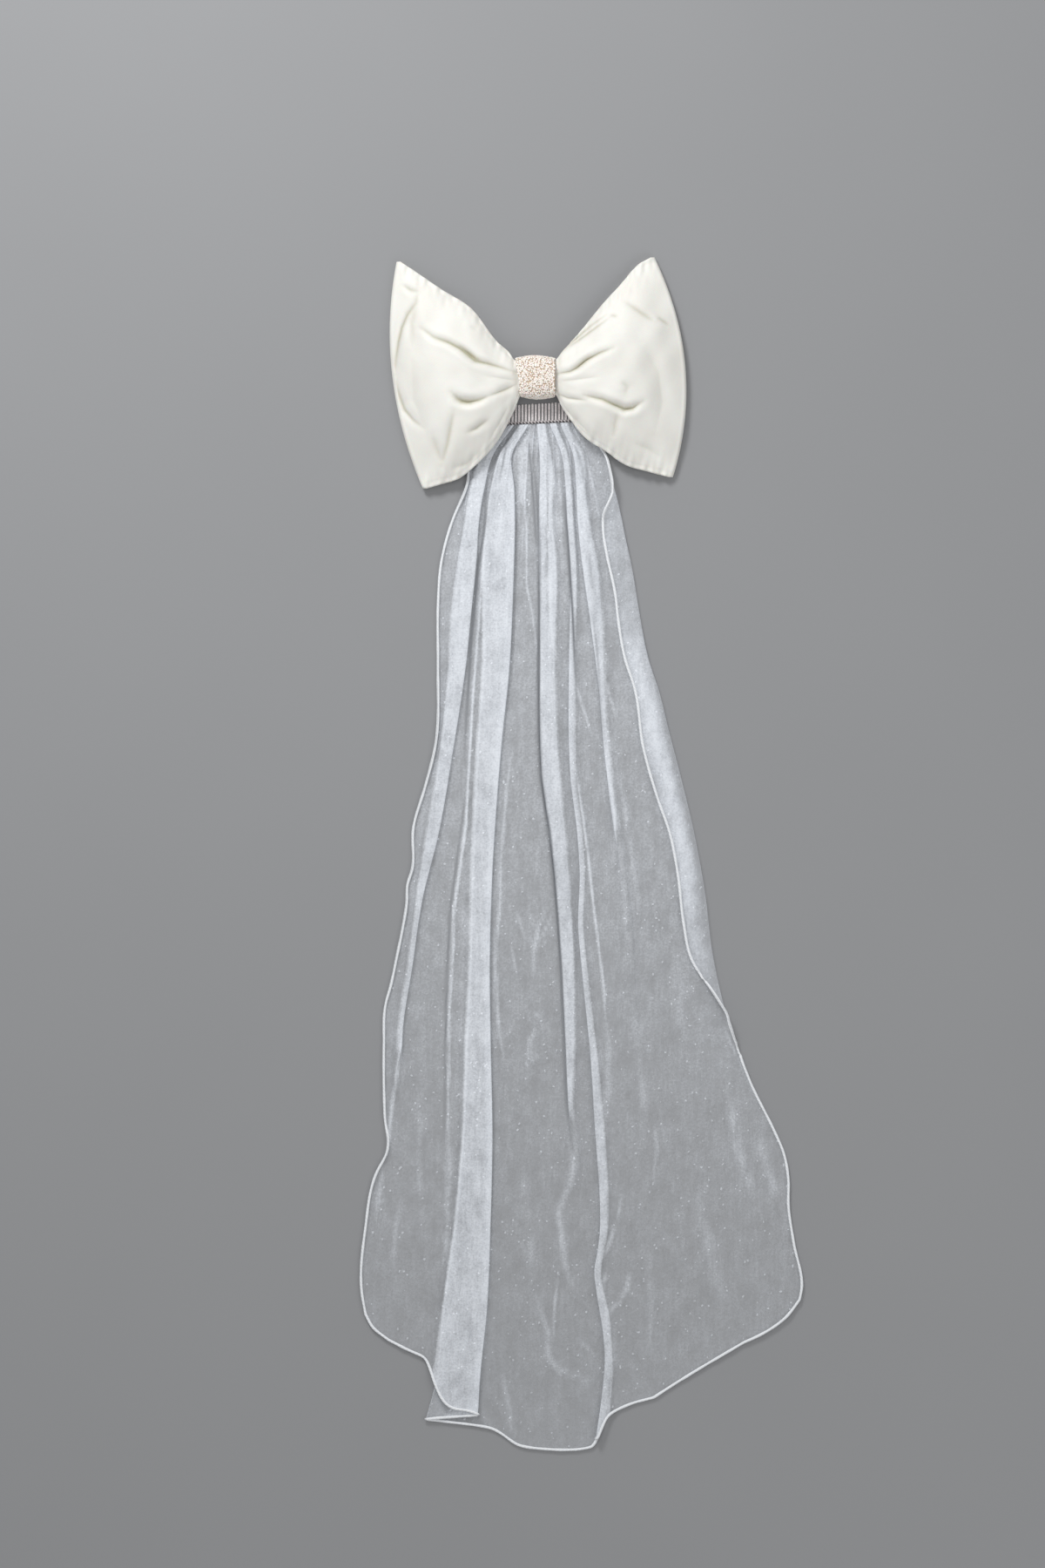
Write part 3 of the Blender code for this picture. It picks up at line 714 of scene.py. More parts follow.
@dataclass
class VeilPanel:
    """The sheer panel, in its folds, with the cord in its hem."""

    rest: float = 0.5
    cord_rise_from: float = 0.985
    cord_rise: float = 0.015
    layer_step: float = 2.4
    hem_step: float = 3.2
    hem_step_from: float = 0.93
    hem_step_to: float = 0.975
    cord_radius: float = 1.6
    cord_height: float = 1.5
    cord_offset: float = 0.8
    cord_clearance: float = 1.12
    cord_sides: int = 10
    steep_ramp: float = 2.0
    easy_ramp: float = 8.0
    ramp_eases_from: float = 339
    ramp_eases_to: float = 219
    shortest_ramp: float = 1.4
    ramp_share_of_room: float = 0.6
    fold_clearance: float = 1.9
    turn_depth: float = 0.4
    strand_gap: float = 1.1
    opened_gap: float = 1.5
    flap_turn: float = 8.2
    flap_least: float = 5.0
    flap_droop: float = 1.9
    flap_from: float = 385
    flap_to: float = -145
    flap_opening: float = 85
    flap_least_turn: float = 0.001
    flap_tight_share: float = 0.25
    flap_tight_from: float = 492.4
    flap_tight_reach: float = 60
    flap_margin: float = 6
    tables_from: float = 491.0
    top_y: float = 490.4
    comb_left: float = -89.0
    comb_tilt: float = 0.045
    rows: int = 200
    column_spacing: float = 1.5
    fewest_columns: int = 2
    most_columns: int = 40
    hem_tries: int = 30
    undulation_height: float = 0.9
    crinkle_height: float = 0.55
    calm_edge: float = 60
    line_margin: float = 0.02
    crease_power: float = 0.5
    crease_gain: float = 2.7
    gap_power: float = 0.4
    gather_height: float = 1.3
    gather_width_at_comb: float = 0.9
    gather_bend: float = 0.7
    gather_gain: float = 2.0
    steep_fullness: float = 0.7
    steepest: float = 0.2
    most_steep_fullness: float = 1.6
    least_fullness: float = -0.97
    gathered_fullness: float = 0.6
    spread_fullness: float = -0.35
    spread_by: float = -600
    folded_fullness: float = 2.4
    folded_from: float = 1.5
    folded_reach: float = 0.35
    end_share: float = 0.2
    end_reach: float = 15.0
    length: float = 1.18

    # For a fold's nine points: the layer that each lies at, and its x from the middle once it has run out
    fold_layers = (0, 2, 2, 2, 1.65, 1.25, 0.75, 0.35, 0)
    run_out_spread = (-13, -11, -9.5, -8, -7, -6, 6, 7, 8)
    # For the right edge's nine points: the shares of the turn and of the straight run beyond it
    flap_shares = ((0, 0), (0.25, 0), (0.5, 0), (0.75, 0), (1, 0), (1, 0.3), (1, 0.6), (1, 0.8), (1, 1))

    # y, x of the cloth's left edge
    left_edge = (
        (491, -91), (459, -123), (419, -132), (379, -148), (339, -159), (279, -164), (219, -164),
        (119, -168), (75, -179), (30, -192), (-20, -194), (-37, -199), (-58, -200), (-89, -205),
        (-121, -211.5), (-152, -218), (-174, -224), (-221, -226), (-300, -225),
        (-345, -223), (-369, -235), (-430, -247), (-507, -251), (-529, -247),
    )
    # y, x of the right outline: a turned edge down to y -215 and the cloth's own edge below
    right_outline = (
        (491, -2), (459, 25), (427, 35), (402, 42), (359, 51), (327, 58), (284, 65), (219, 78),
        (189, 88), (137, 101), (91, 113), (24, 129), (-48, 142), (-113, 150), (-144, 156), (-192, 168),
        (-236, 182), (-265, 193), (-320, 220), (-343, 230), (-375, 236), (-404, 236), (-447, 242),
        (-502, 251), (-512, 249),
    )
    # y, x where the turned-back right edge lies on the sheet
    flap_edge = (
        (491, -2), (459, 25), (427, 34), (409, 30), (388, 26), (368, 26), (343, 30), (296, 40),
        (269, 43), (223, 51), (189, 62), (121, 72), (64, 88), (24, 102), (-27, 112), (-79, 118),
        (-121, 127), (-156, 147), (-192, 161), (-225, 174), (-240, 184),
    )
    folds = {
        "outer_left": ZFold(
            Side.RIGHT, "left_edge",
            (
                (491, -83, -78), (459, -112, -101), (419, -127, -112), (379, -134, -118.5),
                (339, -141, -121), (279, -149, -127), (219, -152, -133), (119, -162, -148),
                (8, -179.5, -168), (-21, -184, -175.5), (-45, -187.5, -181.5), (-72, -190.6, -186.6),
                (-121, -197, -193.5), (-221, -209.5, -206.5), (-300, -202, -198),
                (-345, -200, -196), (-430, -216, -212), (-529, -216, -212),
            ),
            ends_at=-219, run_out=80,
        ),
        "broad": ZFold(
            Side.RIGHT, "outer_left",
            (
                (491, -69.5, -61.5), (459, -91.5, -80), (419, -103.5, -78), (379, -109, -77),
                (339, -113, -78), (279, -113, -80), (219, -113, -83), (119, -120, -93),
                (-21, -126, -103), (-121, -128, -106), (-221, -133, -105), (-321, -136, -103),
                (-421, -145, -105), (-521, -159, -109), (-611, -168, -118), (-649, -178, -120),
            ),
        ),
        "middle": ZFold(
            Side.LEFT, "narrow",
            (
                (491, -51, -44), (459, -48, -36), (379, -49, -34), (339, -49, -30), (219, -47, -32),
                (119, -48, -28), (-21, -32, -16), (-121, -23, -10), (-221, -18, -10),
                (-290, -15, -12.5),
            ),
            ends_at=-286.4, run_out=120,
        ),
        "narrow": ZFold(
            Side.LEFT, "right",
            (
                (491, -36, -31), (459, -23, -18), (419, -18, -13), (379, -16, -11), (339, -13, -8),
                (219, -14, -10), (119, -14, -9.5), (88, -12.5, -9.5), (24, -4.8, -2.2), (-21, -1.8, 0.6),
                (-88, -3.4, -0.9), (-121, -0.6, 2.2), (-183, 5.6, 9.4), (-221, 9.5, 14),
                (-321, 16, 24), (-391, 21, 28), (-431, 21.5, 27.5), (-456, 19, 23), (-479, 15, 19),
                (-501, 17, 22), (-525, 21, 28), (-551, 25, 31), (-581, 27, 32), (-611, 25, 30),
                (-641, 21.5, 26), (-661, 18.5, 21.5), (-684, 16, 19),
            ),
        ),
        "right": ZFold(
            Side.LEFT, "right_outline",
            (
                (491, -24, -18), (459, -10, 0), (419, -6, 4), (379, -4, 8), (339, 0, 16), (279, 8.5, 22),
                (219, 16.5, 24.4), (183, 20.8, 25.6), (151, 23.3, 27.2), (119, 26, 29.8), (88, 29.6, 33.2),
                (62, 32.6, 36.2), (-221, 52, 57), (-684, 75, 80),
            ),
            ends_at=71, run_out=360,
        ),
    }
    # x, y along the bottom hem in its three visible stretches
    hems = {
        Hem.LEFT: (
            (-247, -529), (-240, -544), (-221, -558), (-196, -571), (-177, -578), (-171, -598),
            (-165, -618), (-158, -631), (-147, -638), (-130, -637), (-120, -642),
        ),
        Hem.CENTRE: (
            (-178, -649), (-162, -646), (-136, -652), (-114, -656), (-93, -662), (-78, -677), (-64, -681),
            (-39, -684), (-10, -684), (8, -682), (14, -679), (18, -673), (22, -663),
        ),
        Hem.RIGHT: (
            (20, -661), (24, -650), (30, -643), (47, -633), (82, -624), (105, -609), (134, -591),
            (163, -574), (192, -557), (209, -551), (229, -537), (242, -525), (249, -512),
        ),
    }
    # Soft relief: wave length along x, along y, and phase
    undulation = ((210, 640, 0.1), (-150, 380, 0.45), (97, -520, 0.8), (330, 210, 0.3))
    # Unevenness of the cord: share of its radius, length in mm for each radian, and phase
    cord_waves = ((0.06, 7, 0), (0.05, 3.1, 1))
    crinkle = ((41, 260, 0.2), (-33, 190, 0.65), (26, -150, 0.9), (58, 95, 0.35), (-22, 120, 0.05))
    creases = (
        # Thin pleat left of the broad fold, crisp down to y -310 and crumpled below
        Crease(
            1.5, 1.4,
            (
                (-112, 359), (-119, 259), (-125, 179), (-130, 89), (-133, 34), (-141, -27), (-147, -67),
                (-148, -115), (-152, -169), (-153, -249), (-154, -319),
            ),
            1.9,
        ),
        Crease(1.0, 4.0, ((-154, -301), (-152, -373), (-154, -406), (-154, -433), (-157, -466)), 0.4),
        Crease(0.3, 10.0, ((-130, 19), (-134, -81), (-138, -181), (-139, -311)), 0.25),
        # Where the outer left fold runs out towards the pinched edge
        Crease(1.2, 1.7, ((-206, -207), (-212, -251), (-218, -292), (-223, -347)), 1.3),
        Crease(0.8, 2.5, ((-228, -366), (-234, -396), (-237, -421)), 0.4),
        # Right of the broad fold
        Crease(
            1.2, 1.8,
            (
                (-79, 119), (-84, 90), (-89, 40), (-93, -13), (-94, -62), (-98, -94), (-99, -129),
                (-97, -182), (-93, -217), (-89, -239),
            ),
            1.0,
        ),
        Crease(0.6, 1.6, ((-75, -67), (-70, -83), (-65, -99)), 0.5),
        Crease(0.7, 1.6, ((-40, -64), (-50, -86), (-55, -113), (-55, -139)), 0.75),
        Crease(0.6, 1.4, ((-34, -72), (-41, -87), (-49, -99)), 0.7),
        Crease(0.6, 1.8, ((-81, -107), (-78, -121), (-75, -139)), 0.5),
        Crease(0.5, 1.6, ((-60, -190), (-46, -184)), 0.6),
        Crease(0.5, 1.8, ((-53, -201), (-61, -218)), 0.5),
        Crease(0.6, 1.8, ((-50, -231), (-58, -240), (-67, -245)), 0.6),
        # Line from the comb into the middle fold
        Crease(1.2, 1.5, ((-67, 434), (-63, 369), (-63, 306), (-57, 278), (-50, 223)), 0.9),
        Crease(1.0, 1.4, ((-36, 419), (-38, 359), (-37, 299), (-34, 249), (-26, 214)), 0.7),
        # Line that leaves the narrow fold
        Crease(1.3, 1.3, ((-7, 99), (1, 45), (8, -8), (13.5, -60), (19, -104), (25, -151), (28, -196)), 1.6),
        Crease(0.9, 3.5, ((28, -186), (32, -234), (28, -284), (25, -319)), 0.45),
        # Lines that leave the right fold
        Crease(1.1, 1.4, ((-5, 189), (0, 171), (12, 135)), 0.9),
        Crease(1.1, 1.4, ((24, 211), (31, 184), (40, 155)), 0.9),
        Crease(1.1, 1.6, ((29, 99), (33, 75), (37, 45), (39, 14)), 1.1),
        Crease(1.0, 3.0, ((33, 79), (37, 54), (41, 29)), 0.5),
        Crease(0.9, 3.0, ((42, 91), (50, 49), (56, 11), (67, -67)), 0.35),
        Crease(0.7, 4.0, ((44, 24), (49, -51), (54, -121)), 0.25),
        # Crumples below the end of the middle fold
        Crease(
            1.1, 4.0,
            (
                (-11, -334), (-9, -360), (-16, -387), (-27, -413), (-23, -440), (-19, -473), (-11, -500),
            ),
            0.5,
        ),
        Crease(0.7, 1.7, ((-27, -483), (-31, -519), (-33, -559)), 0.5),
        Crease(1.0, 3.2, ((-51, -511), (-38, -553), (-39, -576), (-29, -592), (-13, -599), (8, -608)), 0.5),
        Crease(0.6, 2.0, ((-5, -559), (5, -568), (16, -578)), 0.35),
        # Crumples beside the narrow fold
        Crease(0.9, 2.2, ((56, -483), (51, -501), (44, -516), (31, -524)), 0.6),
        Crease(0.8, 2.2, ((38, -429), (30, -453), (21, -470)), 0.5),
        Crease(0.6, 1.8, ((30, -481), (22, -500)), 0.5),
        Crease(0.6, 2.0, ((46, -393), (41, -423)), 0.35),
        Crease(0.7, 4.0, ((37, -541), (35, -566), (34, -596)), 0.35),
        # The wide lower right
        Crease(0.6, 2.2, ((84, -313), (87, -343), (82, -369)), 0.35),
        Crease(1.0, 6.0, ((168, -276), (180, -343), (198, -393)), 0.4),
        Crease(0.9, 5.0, ((204, -333), (212, -361), (224, -393)), 0.4),
        Crease(0.7, 2.0, ((161, -196), (180, -237), (198, -278)), 0.5),
        Crease(0.7, 5.0, ((58, -171), (68, -251), (74, -331)), 0.2),
        Crease(0.7, 6.0, ((104, -81), (112, -181), (132, -271)), 0.2),
        Crease(0.6, 7.0, ((132, -401), (147, -461), (162, -521)), 0.18),
        Crease(0.6, 4.0, ((76, -461), (80, -521), (76, -581)), 0.2),
        # The lower left and the middle of the hem
        Crease(0.7, 3.0, ((-91, -599), (-84, -633), (-82, -663)), 0.4),
        Crease(0.6, 3.0, ((-207, -396), (-214, -436), (-218, -481)), 0.25),
        Crease(0.6, 4.0, ((-181, -261), (-188, -351), (-182, -441)), 0.2),
        Crease(0.6, 3.0, ((-64, -239), (-60, -224), (-55, -207)), 0.25),
        Crease(0.6, 5.0, ((-68, -351), (-61, -421), (-56, -481)), 0.2),
        # The turned-back edge, full beside its hem, with painted shade at its soft roll, where the cloth is
        # made thinner so that the table shows through
        Crease(
            0.0, 8.5,
            ((58, 239), (68, 199), (80, 149), (92, 99), (105, 49), (117, -1), (125, -51)),
            1.3,
        ),
        Crease(0.0, 6.0, ((112, 9), (121, -51), (130, -101), (142, -141)), 0.4),
        # Painted shade: thinner cloth along the roll of the turned-back edge
        Crease(
            0.0, 6.5,
            (
                (53, 359), (67, 289), (83, 219), (97, 149), (111, 89), (123, 39), (136, -21), (146, -81),
                (152, -121), (160, -171),
            ),
            -0.9,
        ),
        Crease(0.0, 9.0, ((36, 425), (42, 379), (46, 339), (54, 289), (58, 269)), -0.6),
        # Two bands that meet in the middle fold, and the thin cloth between them
        Crease(0.0, 2.3, ((-41, 471), (-40, 435), (-39, 399), (-39.5, 339), (-39, 299), (-38, 258)), -2.4),
        Crease(0.0, 4.2, ((-33, 471), (-31, 416), (-31, 380), (-32, 347), (-34, 301), (-37, 250)), 0.5),
        # Full cloth above the point where the broad and the middle fold part
        Crease(0.0, 5.5, ((-63, 500), (-66, 460), (-68, 425), (-68, 405)), 1.1),
        # Bright edges of the long folds
        Crease(
            0.0, 1.2,
            (
                (-79, 419), (-78.5, 339), (-80.5, 279), (-83.5, 219), (-93.5, 119), (-103.5, -21),
                (-106.5, -121), (-105.5, -221), (-103.5, -321), (-105.5, -421), (-109.5, -521), (-118, -611),
            ),
            0.7,
        ),
        Crease(
            0.0, 1.2,
            (
                (-112, 339), (-112, 279), (-112, 219), (-119, 119), (-125, -21), (-127, -121), (-132, -221),
                (-135, -321), (-144, -421), (-158, -521), (-167, -611),
            ),
            0.7,
        ),
        # The fuller band at the right of the broad fold
        Crease(
            0.0, 2.6,
            (
                (-83, 399), (-85, 339), (-87, 219), (-97, 119), (-107, -21), (-110, -121), (-109, -221),
                (-107, -321), (-109, -421), (-113, -521), (-121, -611),
            ),
            0.5,
        ),
    )
    # Lines of painted shade in the gaps beside the edges that hang over; fullness is how deep the painted
    # shade is
    gaps = (
        Crease(
            0.0, 1.9,
            ((-109, 419), (-112, 370), (-119, 329), (-123, 283), (-127, 241), (-132, 163), (-135, 109)),
            0.8,
        ),
        Crease(
            0.0, 1.8,
            (
                (-56, 459), (-50, 393), (-48.5, 347), (-49, 278), (-50, 209), (-49, 140), (-47, 88),
                (-42, 54), (-37, 24), (-32, -24), (-28, -72), (-24, -135), (-20.5, -218), (-19, -267),
                (-15, -310), (-10, -343),
            ),
            1.0,
        ),
        Crease(
            0.0, 1.6,
            ((-22, 434), (-20, 407), (-17, 370), (-14, 329), (-11, 283), (-9, 241), (-7, 189)),
            0.9,
        ),
        Crease(
            0.0, 1.2,
            (
                (-134, 64), (-146, -27), (-152, -71), (-153.5, -115), (-156, -169), (-157, -261),
                (-158, -331),
            ),
            0.8,
        ),
        Crease(0.0, 1.3, ((-75, 439), (-75, 339), (-77.5, 259), (-81, 189)), 0.5),
        Crease(0.0, 1.3, ((6, 379), (13, 289), (19, 209), (25, 129)), 0.45),
        Crease(0.0, 1.4, ((-62, 480), (-58, 439), (-55, 399), (-52, 349)), 0.7),
        Crease(0.0, 1.3, ((-84, 480), (-89, 455), (-94, 430)), 0.6),
        Crease(0.0, 1.3, ((-12, 484), (-3, 455), (4, 425), (7, 395)), 0.5),
    )
    # Pleats at the comb: x at the comb, x where it ends, y where it ends, half width there, fullness
    gathers = (
        (-86, -128, 400, 3.0, 0.5), (-80, -118, 350, 2.4, 0.7), (-74.5, -101, 300, 2.2, 0.6),
        (-66, -90, 380, 2.0, 0.5), (-59, -72, 250, 2.4, 0.9), (-54, -63, 330, 1.6, 0.6),
        (-47.5, -55, 410, 1.5, 0.7), (-41, -42, 280, 1.8, 0.8), (-35, -27, 340, 1.6, 0.7),
        (-29, -20, 260, 2.0, 0.6), (-22, -2, 370, 1.6, 0.8), (-16, 12, 300, 2.2, 0.6),
        (-11, 20, 390, 1.8, 0.7), (-7, 30, 330, 2.4, 0.5),
    )

    def base_height(self, v: np.ndarray) -> np.ndarray:
        """The cloth's height where it rests. At the hem it rises to the middle of the cord."""
        rise = smooth_step((v - self.cord_rise_from) / self.cord_rise)
        return self.rest + (self.cord_height - self.rest) * rise

    def step(self, v: np.ndarray) -> np.ndarray:
        """The height from layer to layer, larger at the hem to make room for the cord."""
        share = smooth_step((v - self.hem_step_from) / (self.hem_step_to - self.hem_step_from))
        return self.layer_step + (self.hem_step - self.layer_step) * share

    def ramp(self, fold: ZFold, near: np.ndarray, side: int, y: np.ndarray) -> np.ndarray:
        """How long the cloth takes to climb onto a fold: a share of the room beside it, within limits."""
        if fold.beside == "left_edge":
            neighbour = read_table(self.left_edge, y)
        elif fold.beside == "right_outline":
            neighbour = read_table(self.right_outline, y)
        else:
            neighbour = read_table(self.folds[fold.beside].rows, y, 2 if side > 0 else 1)
        room = np.abs(near - neighbour) - 2 * self.fold_clearance
        share = smooth_step((self.ramp_eases_from - y) / (self.ramp_eases_from - self.ramp_eases_to))
        longest = self.steep_ramp + (self.easy_ramp - self.steep_ramp) * share
        return np.clip(room * self.ramp_share_of_room, self.shortest_ramp, longest)

    def fold_point(self, name: str, k: int, y: np.ndarray, v: np.ndarray) -> Pair:
        """Point k of a fold's nine: up a ramp, along the top, round, back underneath, round, and on.

        Args:
            name: the fold.
            k: the point, counted from the left.
            y: the heights to read it at.
            v: the share of the way from the comb to the hem at each height.

        Returns:
            The point's x and z. Past the fold's end it opens sideways, and then comes down to the table.
        """
        fold = self.folds[name]
        left, right = read_table(fold.rows, y, 1), read_table(fold.rows, y, 2)
        side = fold.top_edge.value
        near, far = (left, right) if side > 0 else (right, left)
        k = k if side > 0 else len(self.run_out_spread) - 1 - k
        step, base = self.step(v), self.base_height(v)
        turn = step * self.turn_depth
        ramp = self.ramp(fold, near, side, y)
        places = (
            near - side * (self.fold_clearance + ramp), near - side * self.fold_clearance,
            (near + far) / 2, far, far + side * turn, far, near, near - side * turn, near,
        )
        x, z = places[k], base + self.fold_layers[k] * step
        if fold.ends_at is None:
            return x, z
        past_end = 2 * (fold.ends_at - y) / fold.run_out
        flat_x = (left + right) / 2 + side * self.run_out_spread[k]
        return x + (flat_x - x) * smooth_step(past_end), z + (base - z) * smooth_step(past_end - 1)

    def flap_point(self, k: int, y: np.ndarray, v: np.ndarray) -> Pair:
        """Point k of the right edge's nine: along the table, round the turn, and on to the cloth's own edge.

        The turn is part of a circle: half of it where the edge is turned back, and next to nothing where it
        lies flat.

        Args:
            k: the point, counted from the left.
            y: the heights to read it at.
            v: the share of the way from the comb to the hem at each height.

        Returns:
            The point's x and z.
        """
        outline, edge = read_table(self.right_outline, y), read_table(self.flap_edge, y)
        opening = np.maximum((y - self.flap_from) / self.flap_opening, (self.flap_to - y) / self.flap_opening)
        angle = math.pi * np.clip(1 - opening, self.flap_least_turn, 1)
        tight = self.flap_tight_share
        gathered = np.clip(tight + (self.flap_tight_from - y) / self.flap_tight_reach, tight, 1)
        beyond = np.maximum(outline - self.flap_turn / math.pi - edge, self.flap_least * gathered)
        radius = self.flap_turn * gathered / angle
        reach = np.where(angle < math.pi / 2, radius * np.sin(angle) + beyond * np.cos(angle), radius)
        turned, straight = self.flap_shares[k]
        x = radius * np.sin(angle * turned) + beyond * straight * np.cos(angle)
        z = radius * (1 - np.cos(angle * turned)) + beyond * straight * np.sin(angle)
        folded = (angle / math.pi) ** 4
        z = z - self.flap_droop * straight * folded
        edge_rise = (self.cord_height - self.rest) * straight**4 * (1 - folded)
        return outline - reach + x, np.maximum(self.base_height(v) + z, self.rest + z + edge_rise)

    def strands(self) -> list[tuple[Hem | float, Strand]]:
        """The cloth's guiding strands from its left edge to its right one.

        Returns:
            For each strand, the stretch of the hem or the height y that it ends on, and its x and z as a
            function of y and the share of the way down.
        """

        def edge(y: np.ndarray, v: np.ndarray) -> Pair:
            """The cloth's left edge, level with the middle of the cord all the way down."""
            return read_table(self.left_edge, y), np.full_like(y, self.cord_height)

        def of_fold(name: str, k: int) -> Strand:
            """Point k of a fold."""
            return partial(self.fold_point, name, k)

        def of_flap(k: int) -> Strand:
            """Point k of the right edge."""
            return partial(self.flap_point, k)

        def clear_of(name: str, side: int) -> Strand:
            """Just outside a fold's turns, or its last point where it has run out."""
            column, last, farther = {-1: (1, 0, np.minimum), 1: (2, 8, np.maximum)}[side]

            def strand(y: np.ndarray, v: np.ndarray) -> Pair:
                """Its x and z at these heights."""
                fold_line = read_table(self.folds[name].rows, y, column)
                past = fold_line + side * (self.step(v) / 2 + self.strand_gap)
                opened = self.fold_point(name, last, y, v)[0] + side * self.opened_gap
                return farther(past, opened), self.base_height(v)

            return strand

        def flats(hem: Hem, start: Strand, end: Strand, shares: Sequence[float]) -> list[tuple[Hem, Strand]]:
            """Strands on the table between two others, at these shares of the way."""

            def strand(y: np.ndarray, v: np.ndarray, share: float) -> Pair:
                """Its x and z at these heights."""
                from_x, to_x = start(y, v)[0], end(y, v)[0]
                return from_x + (to_x - from_x) * share, self.base_height(v)

            return [(hem, partial(strand, share=share)) for share in shares]

        def on_top(share: float) -> Strand:
            """A strand on the broad fold's top layer."""

            def strand(y: np.ndarray, v: np.ndarray) -> Pair:
                """Its x and z at these heights."""
                (x0, z0), (x1, z1) = self.fold_point("broad", 1, y, v), self.fold_point("broad", 3, y, v)
                return x0 + (x1 - x0) * share, z0 + (z1 - z0) * share

            return strand

        nine = range(9)
        found: list[tuple[Hem | float, Strand]] = [(Hem.LEFT, edge)]
        found += flats(Hem.LEFT, edge, of_fold("outer_left", 0), (0.25, 0.5, 0.8))
        found += [(Hem.LEFT, of_fold("outer_left", k)) for k in nine]
        found += flats(Hem.LEFT, clear_of("outer_left", 1), of_fold("broad", 0), (0.05, 0.4, 0.8))
        # Where the nine points of a fold end: on a stretch of the hem, or at a height y inside the fold
        broad_ends = (Hem.LEFT, Hem.LEFT, Hem.LEFT, Hem.LEFT, -643, -644, -648, -649, Hem.CENTRE)
        broad = [(end, of_fold("broad", k)) for k, end in enumerate(broad_ends)]
        found += broad[:2] + [(Hem.LEFT, on_top(share)) for share in (0.25, 0.5, 0.75)] + broad[3:]
        between = (0.05, 0.2, 0.35, 0.45, 0.55, 0.7, 0.95)
        found += flats(Hem.CENTRE, clear_of("broad", 1), clear_of("middle", -1), between)
        found += [(Hem.CENTRE, of_fold("middle", k)) for k in nine]
        found += flats(Hem.CENTRE, of_fold("middle", 8), clear_of("narrow", -1), (0.7, 0.97))
        narrow_ends = (-660, -656, -658, -669, -672, -671, -665, Hem.RIGHT, Hem.RIGHT)
        found += [(end, of_fold("narrow", k)) for k, end in enumerate(narrow_ends)]
        found += flats(Hem.RIGHT, of_fold("narrow", 8), clear_of("right", -1), (0.7,))
        found += [(Hem.RIGHT, of_fold("right", k)) for k in nine]
        found += flats(Hem.RIGHT, of_fold("right", 8), of_flap(0), (0.2, 0.4, 0.6, 0.8))
        found += [(Hem.RIGHT, of_flap(k)) for k in nine]
        return found

    def hem_y(self, end: Hem | float, strand: Strand) -> float:
        """The height y at which a strand meets the hem, found by halving the way to it again and again."""
        if not isinstance(end, Hem):
            return end
        line = np.array(self.hems[end], float)
        y = float(line[:, 1].mean())
        for _ in range(self.hem_tries):
            x = float(strand(np.array([y]), np.array([1.0]))[0][0])
            y = (y + float(np.interp(x, line[:, 0], line[:, 1]))) / 2
        return y

    def guide_grid(self) -> np.ndarray:
        """The strands as a grid of points, rows from the comb to the hem."""
        v = np.linspace(0, 1, self.rows)
        columns = []
        for end, strand in self.strands():
            top_x = float(strand(np.array([self.tables_from]), np.array([0.0]))[0][0])
            top = self.top_y + (top_x - self.comb_left) * self.comb_tilt
            y = top + (self.hem_y(end, strand) - top) * v
            x, z = strand(y, v)
            columns.append(np.stack([x, y, np.broadcast_to(z, y.shape)], axis=1))
        return np.stack(columns, axis=1)

    def shade(self, grid: np.ndarray) -> np.ndarray:
        """How deep in a gap's painted shade each point is, 0 to 1."""
        found = np.zeros(grid.shape[:2])
        for painted_gap_shade in self.gaps:
            away, share = from_line(grid[..., 0], grid[..., 1], painted_gap_shade.line)
            fade = faded(share, self.line_margin, self.gap_power)
            found = np.maximum(found, painted_gap_shade.fullness * fade * bell(away, painted_gap_shade.half_width))
        return found

    def surface(self) -> Pair:
        """The whole sheet as a fine grid.

        Strands in wide spans get more columns between them. The sheet is a B-spline across its strands, and
        its height gains the undulation, crinkles, creases and gathers, each a function of x and y alone, so
        layers that lie on each other never cross. It looks fuller near the comb, on the top layer of a fold,
        in creases and gathers, and where it is steep.

        Returns:
            The grid of points, and each point's fullness beyond one layer.
        """
        guide = self.guide_grid()
        # From strand to strand, on every tenth of the rows from below the comb
        spans = np.diff(guide[self.rows // 8 :: self.rows // 10], axis=1)
        widths = np.linalg.norm(spans, axis=2).mean(axis=0)
        counts = np.round(widths / self.column_spacing).astype(int)
        counts = np.clip(counts, self.fewest_columns, self.most_columns)
        stations = np.concatenate(
            [k + np.linspace(0, 1, count, endpoint=False) for k, count in enumerate(counts)] + [[len(counts)]]
        )
        grid = soften_across(guide, stations)
        x, y = grid[..., 0], grid[..., 1]
        calm, hem_top = self.calm_edge, guide[-1, :, 1].max()
        edges = smooth_step((self.top_y - y) / calm) * smooth_step((y - hem_top + calm) / calm + 1)
        lift = self.undulation_height * (1 + ripples(x, y, self.undulation)) * edges
        lift += self.crinkle_height * np.abs(ripples(x, y, self.crinkle)) * edges
        spread = smooth_step((self.top_y - y) / (self.top_y - self.spread_by))
        fullness = self.gathered_fullness + (self.spread_fullness - self.gathered_fullness) * spread
        layer = (grid[..., 2] - self.rest) / self.layer_step
        on_fold = smooth_step((layer - self.folded_from) / self.folded_reach)
        for fold in self.folds.values():
            if fold.ends_at is not None:
                middle = (read_table(fold.rows, y, 1) + read_table(fold.rows, y, 2)) / 2
                ended = smooth_step((fold.ends_at - y) / (self.end_share * fold.run_out))
                on_fold *= 1 - ended * (np.abs(x - middle) < self.end_reach)
        fullness += self.folded_fullness * on_fold * (x < read_table(self.flap_edge, y) - self.flap_margin)
        for crease in self.creases:
            away, share = from_line(x, y, crease.line)
            shape = bell(away, crease.half_width) * faded(share, self.line_margin, self.crease_power)
            lift += crease.height * shape
            fullness += crease.fullness * shape * (self.crease_gain if crease.fullness > 0 else 1)
        for comb_x, end_x, end_y, half_width, full in self.gathers:
            along = np.clip((self.top_y - y) / (self.top_y - end_y), 0, 1)
            middle = comb_x + (end_x - comb_x) * along**self.gather_bend
            width = self.gather_width_at_comb + (half_width - self.gather_width_at_comb) * along
            shape = np.exp(-(((x - middle) / width) ** 4)) * (1 - smooth_step(along))
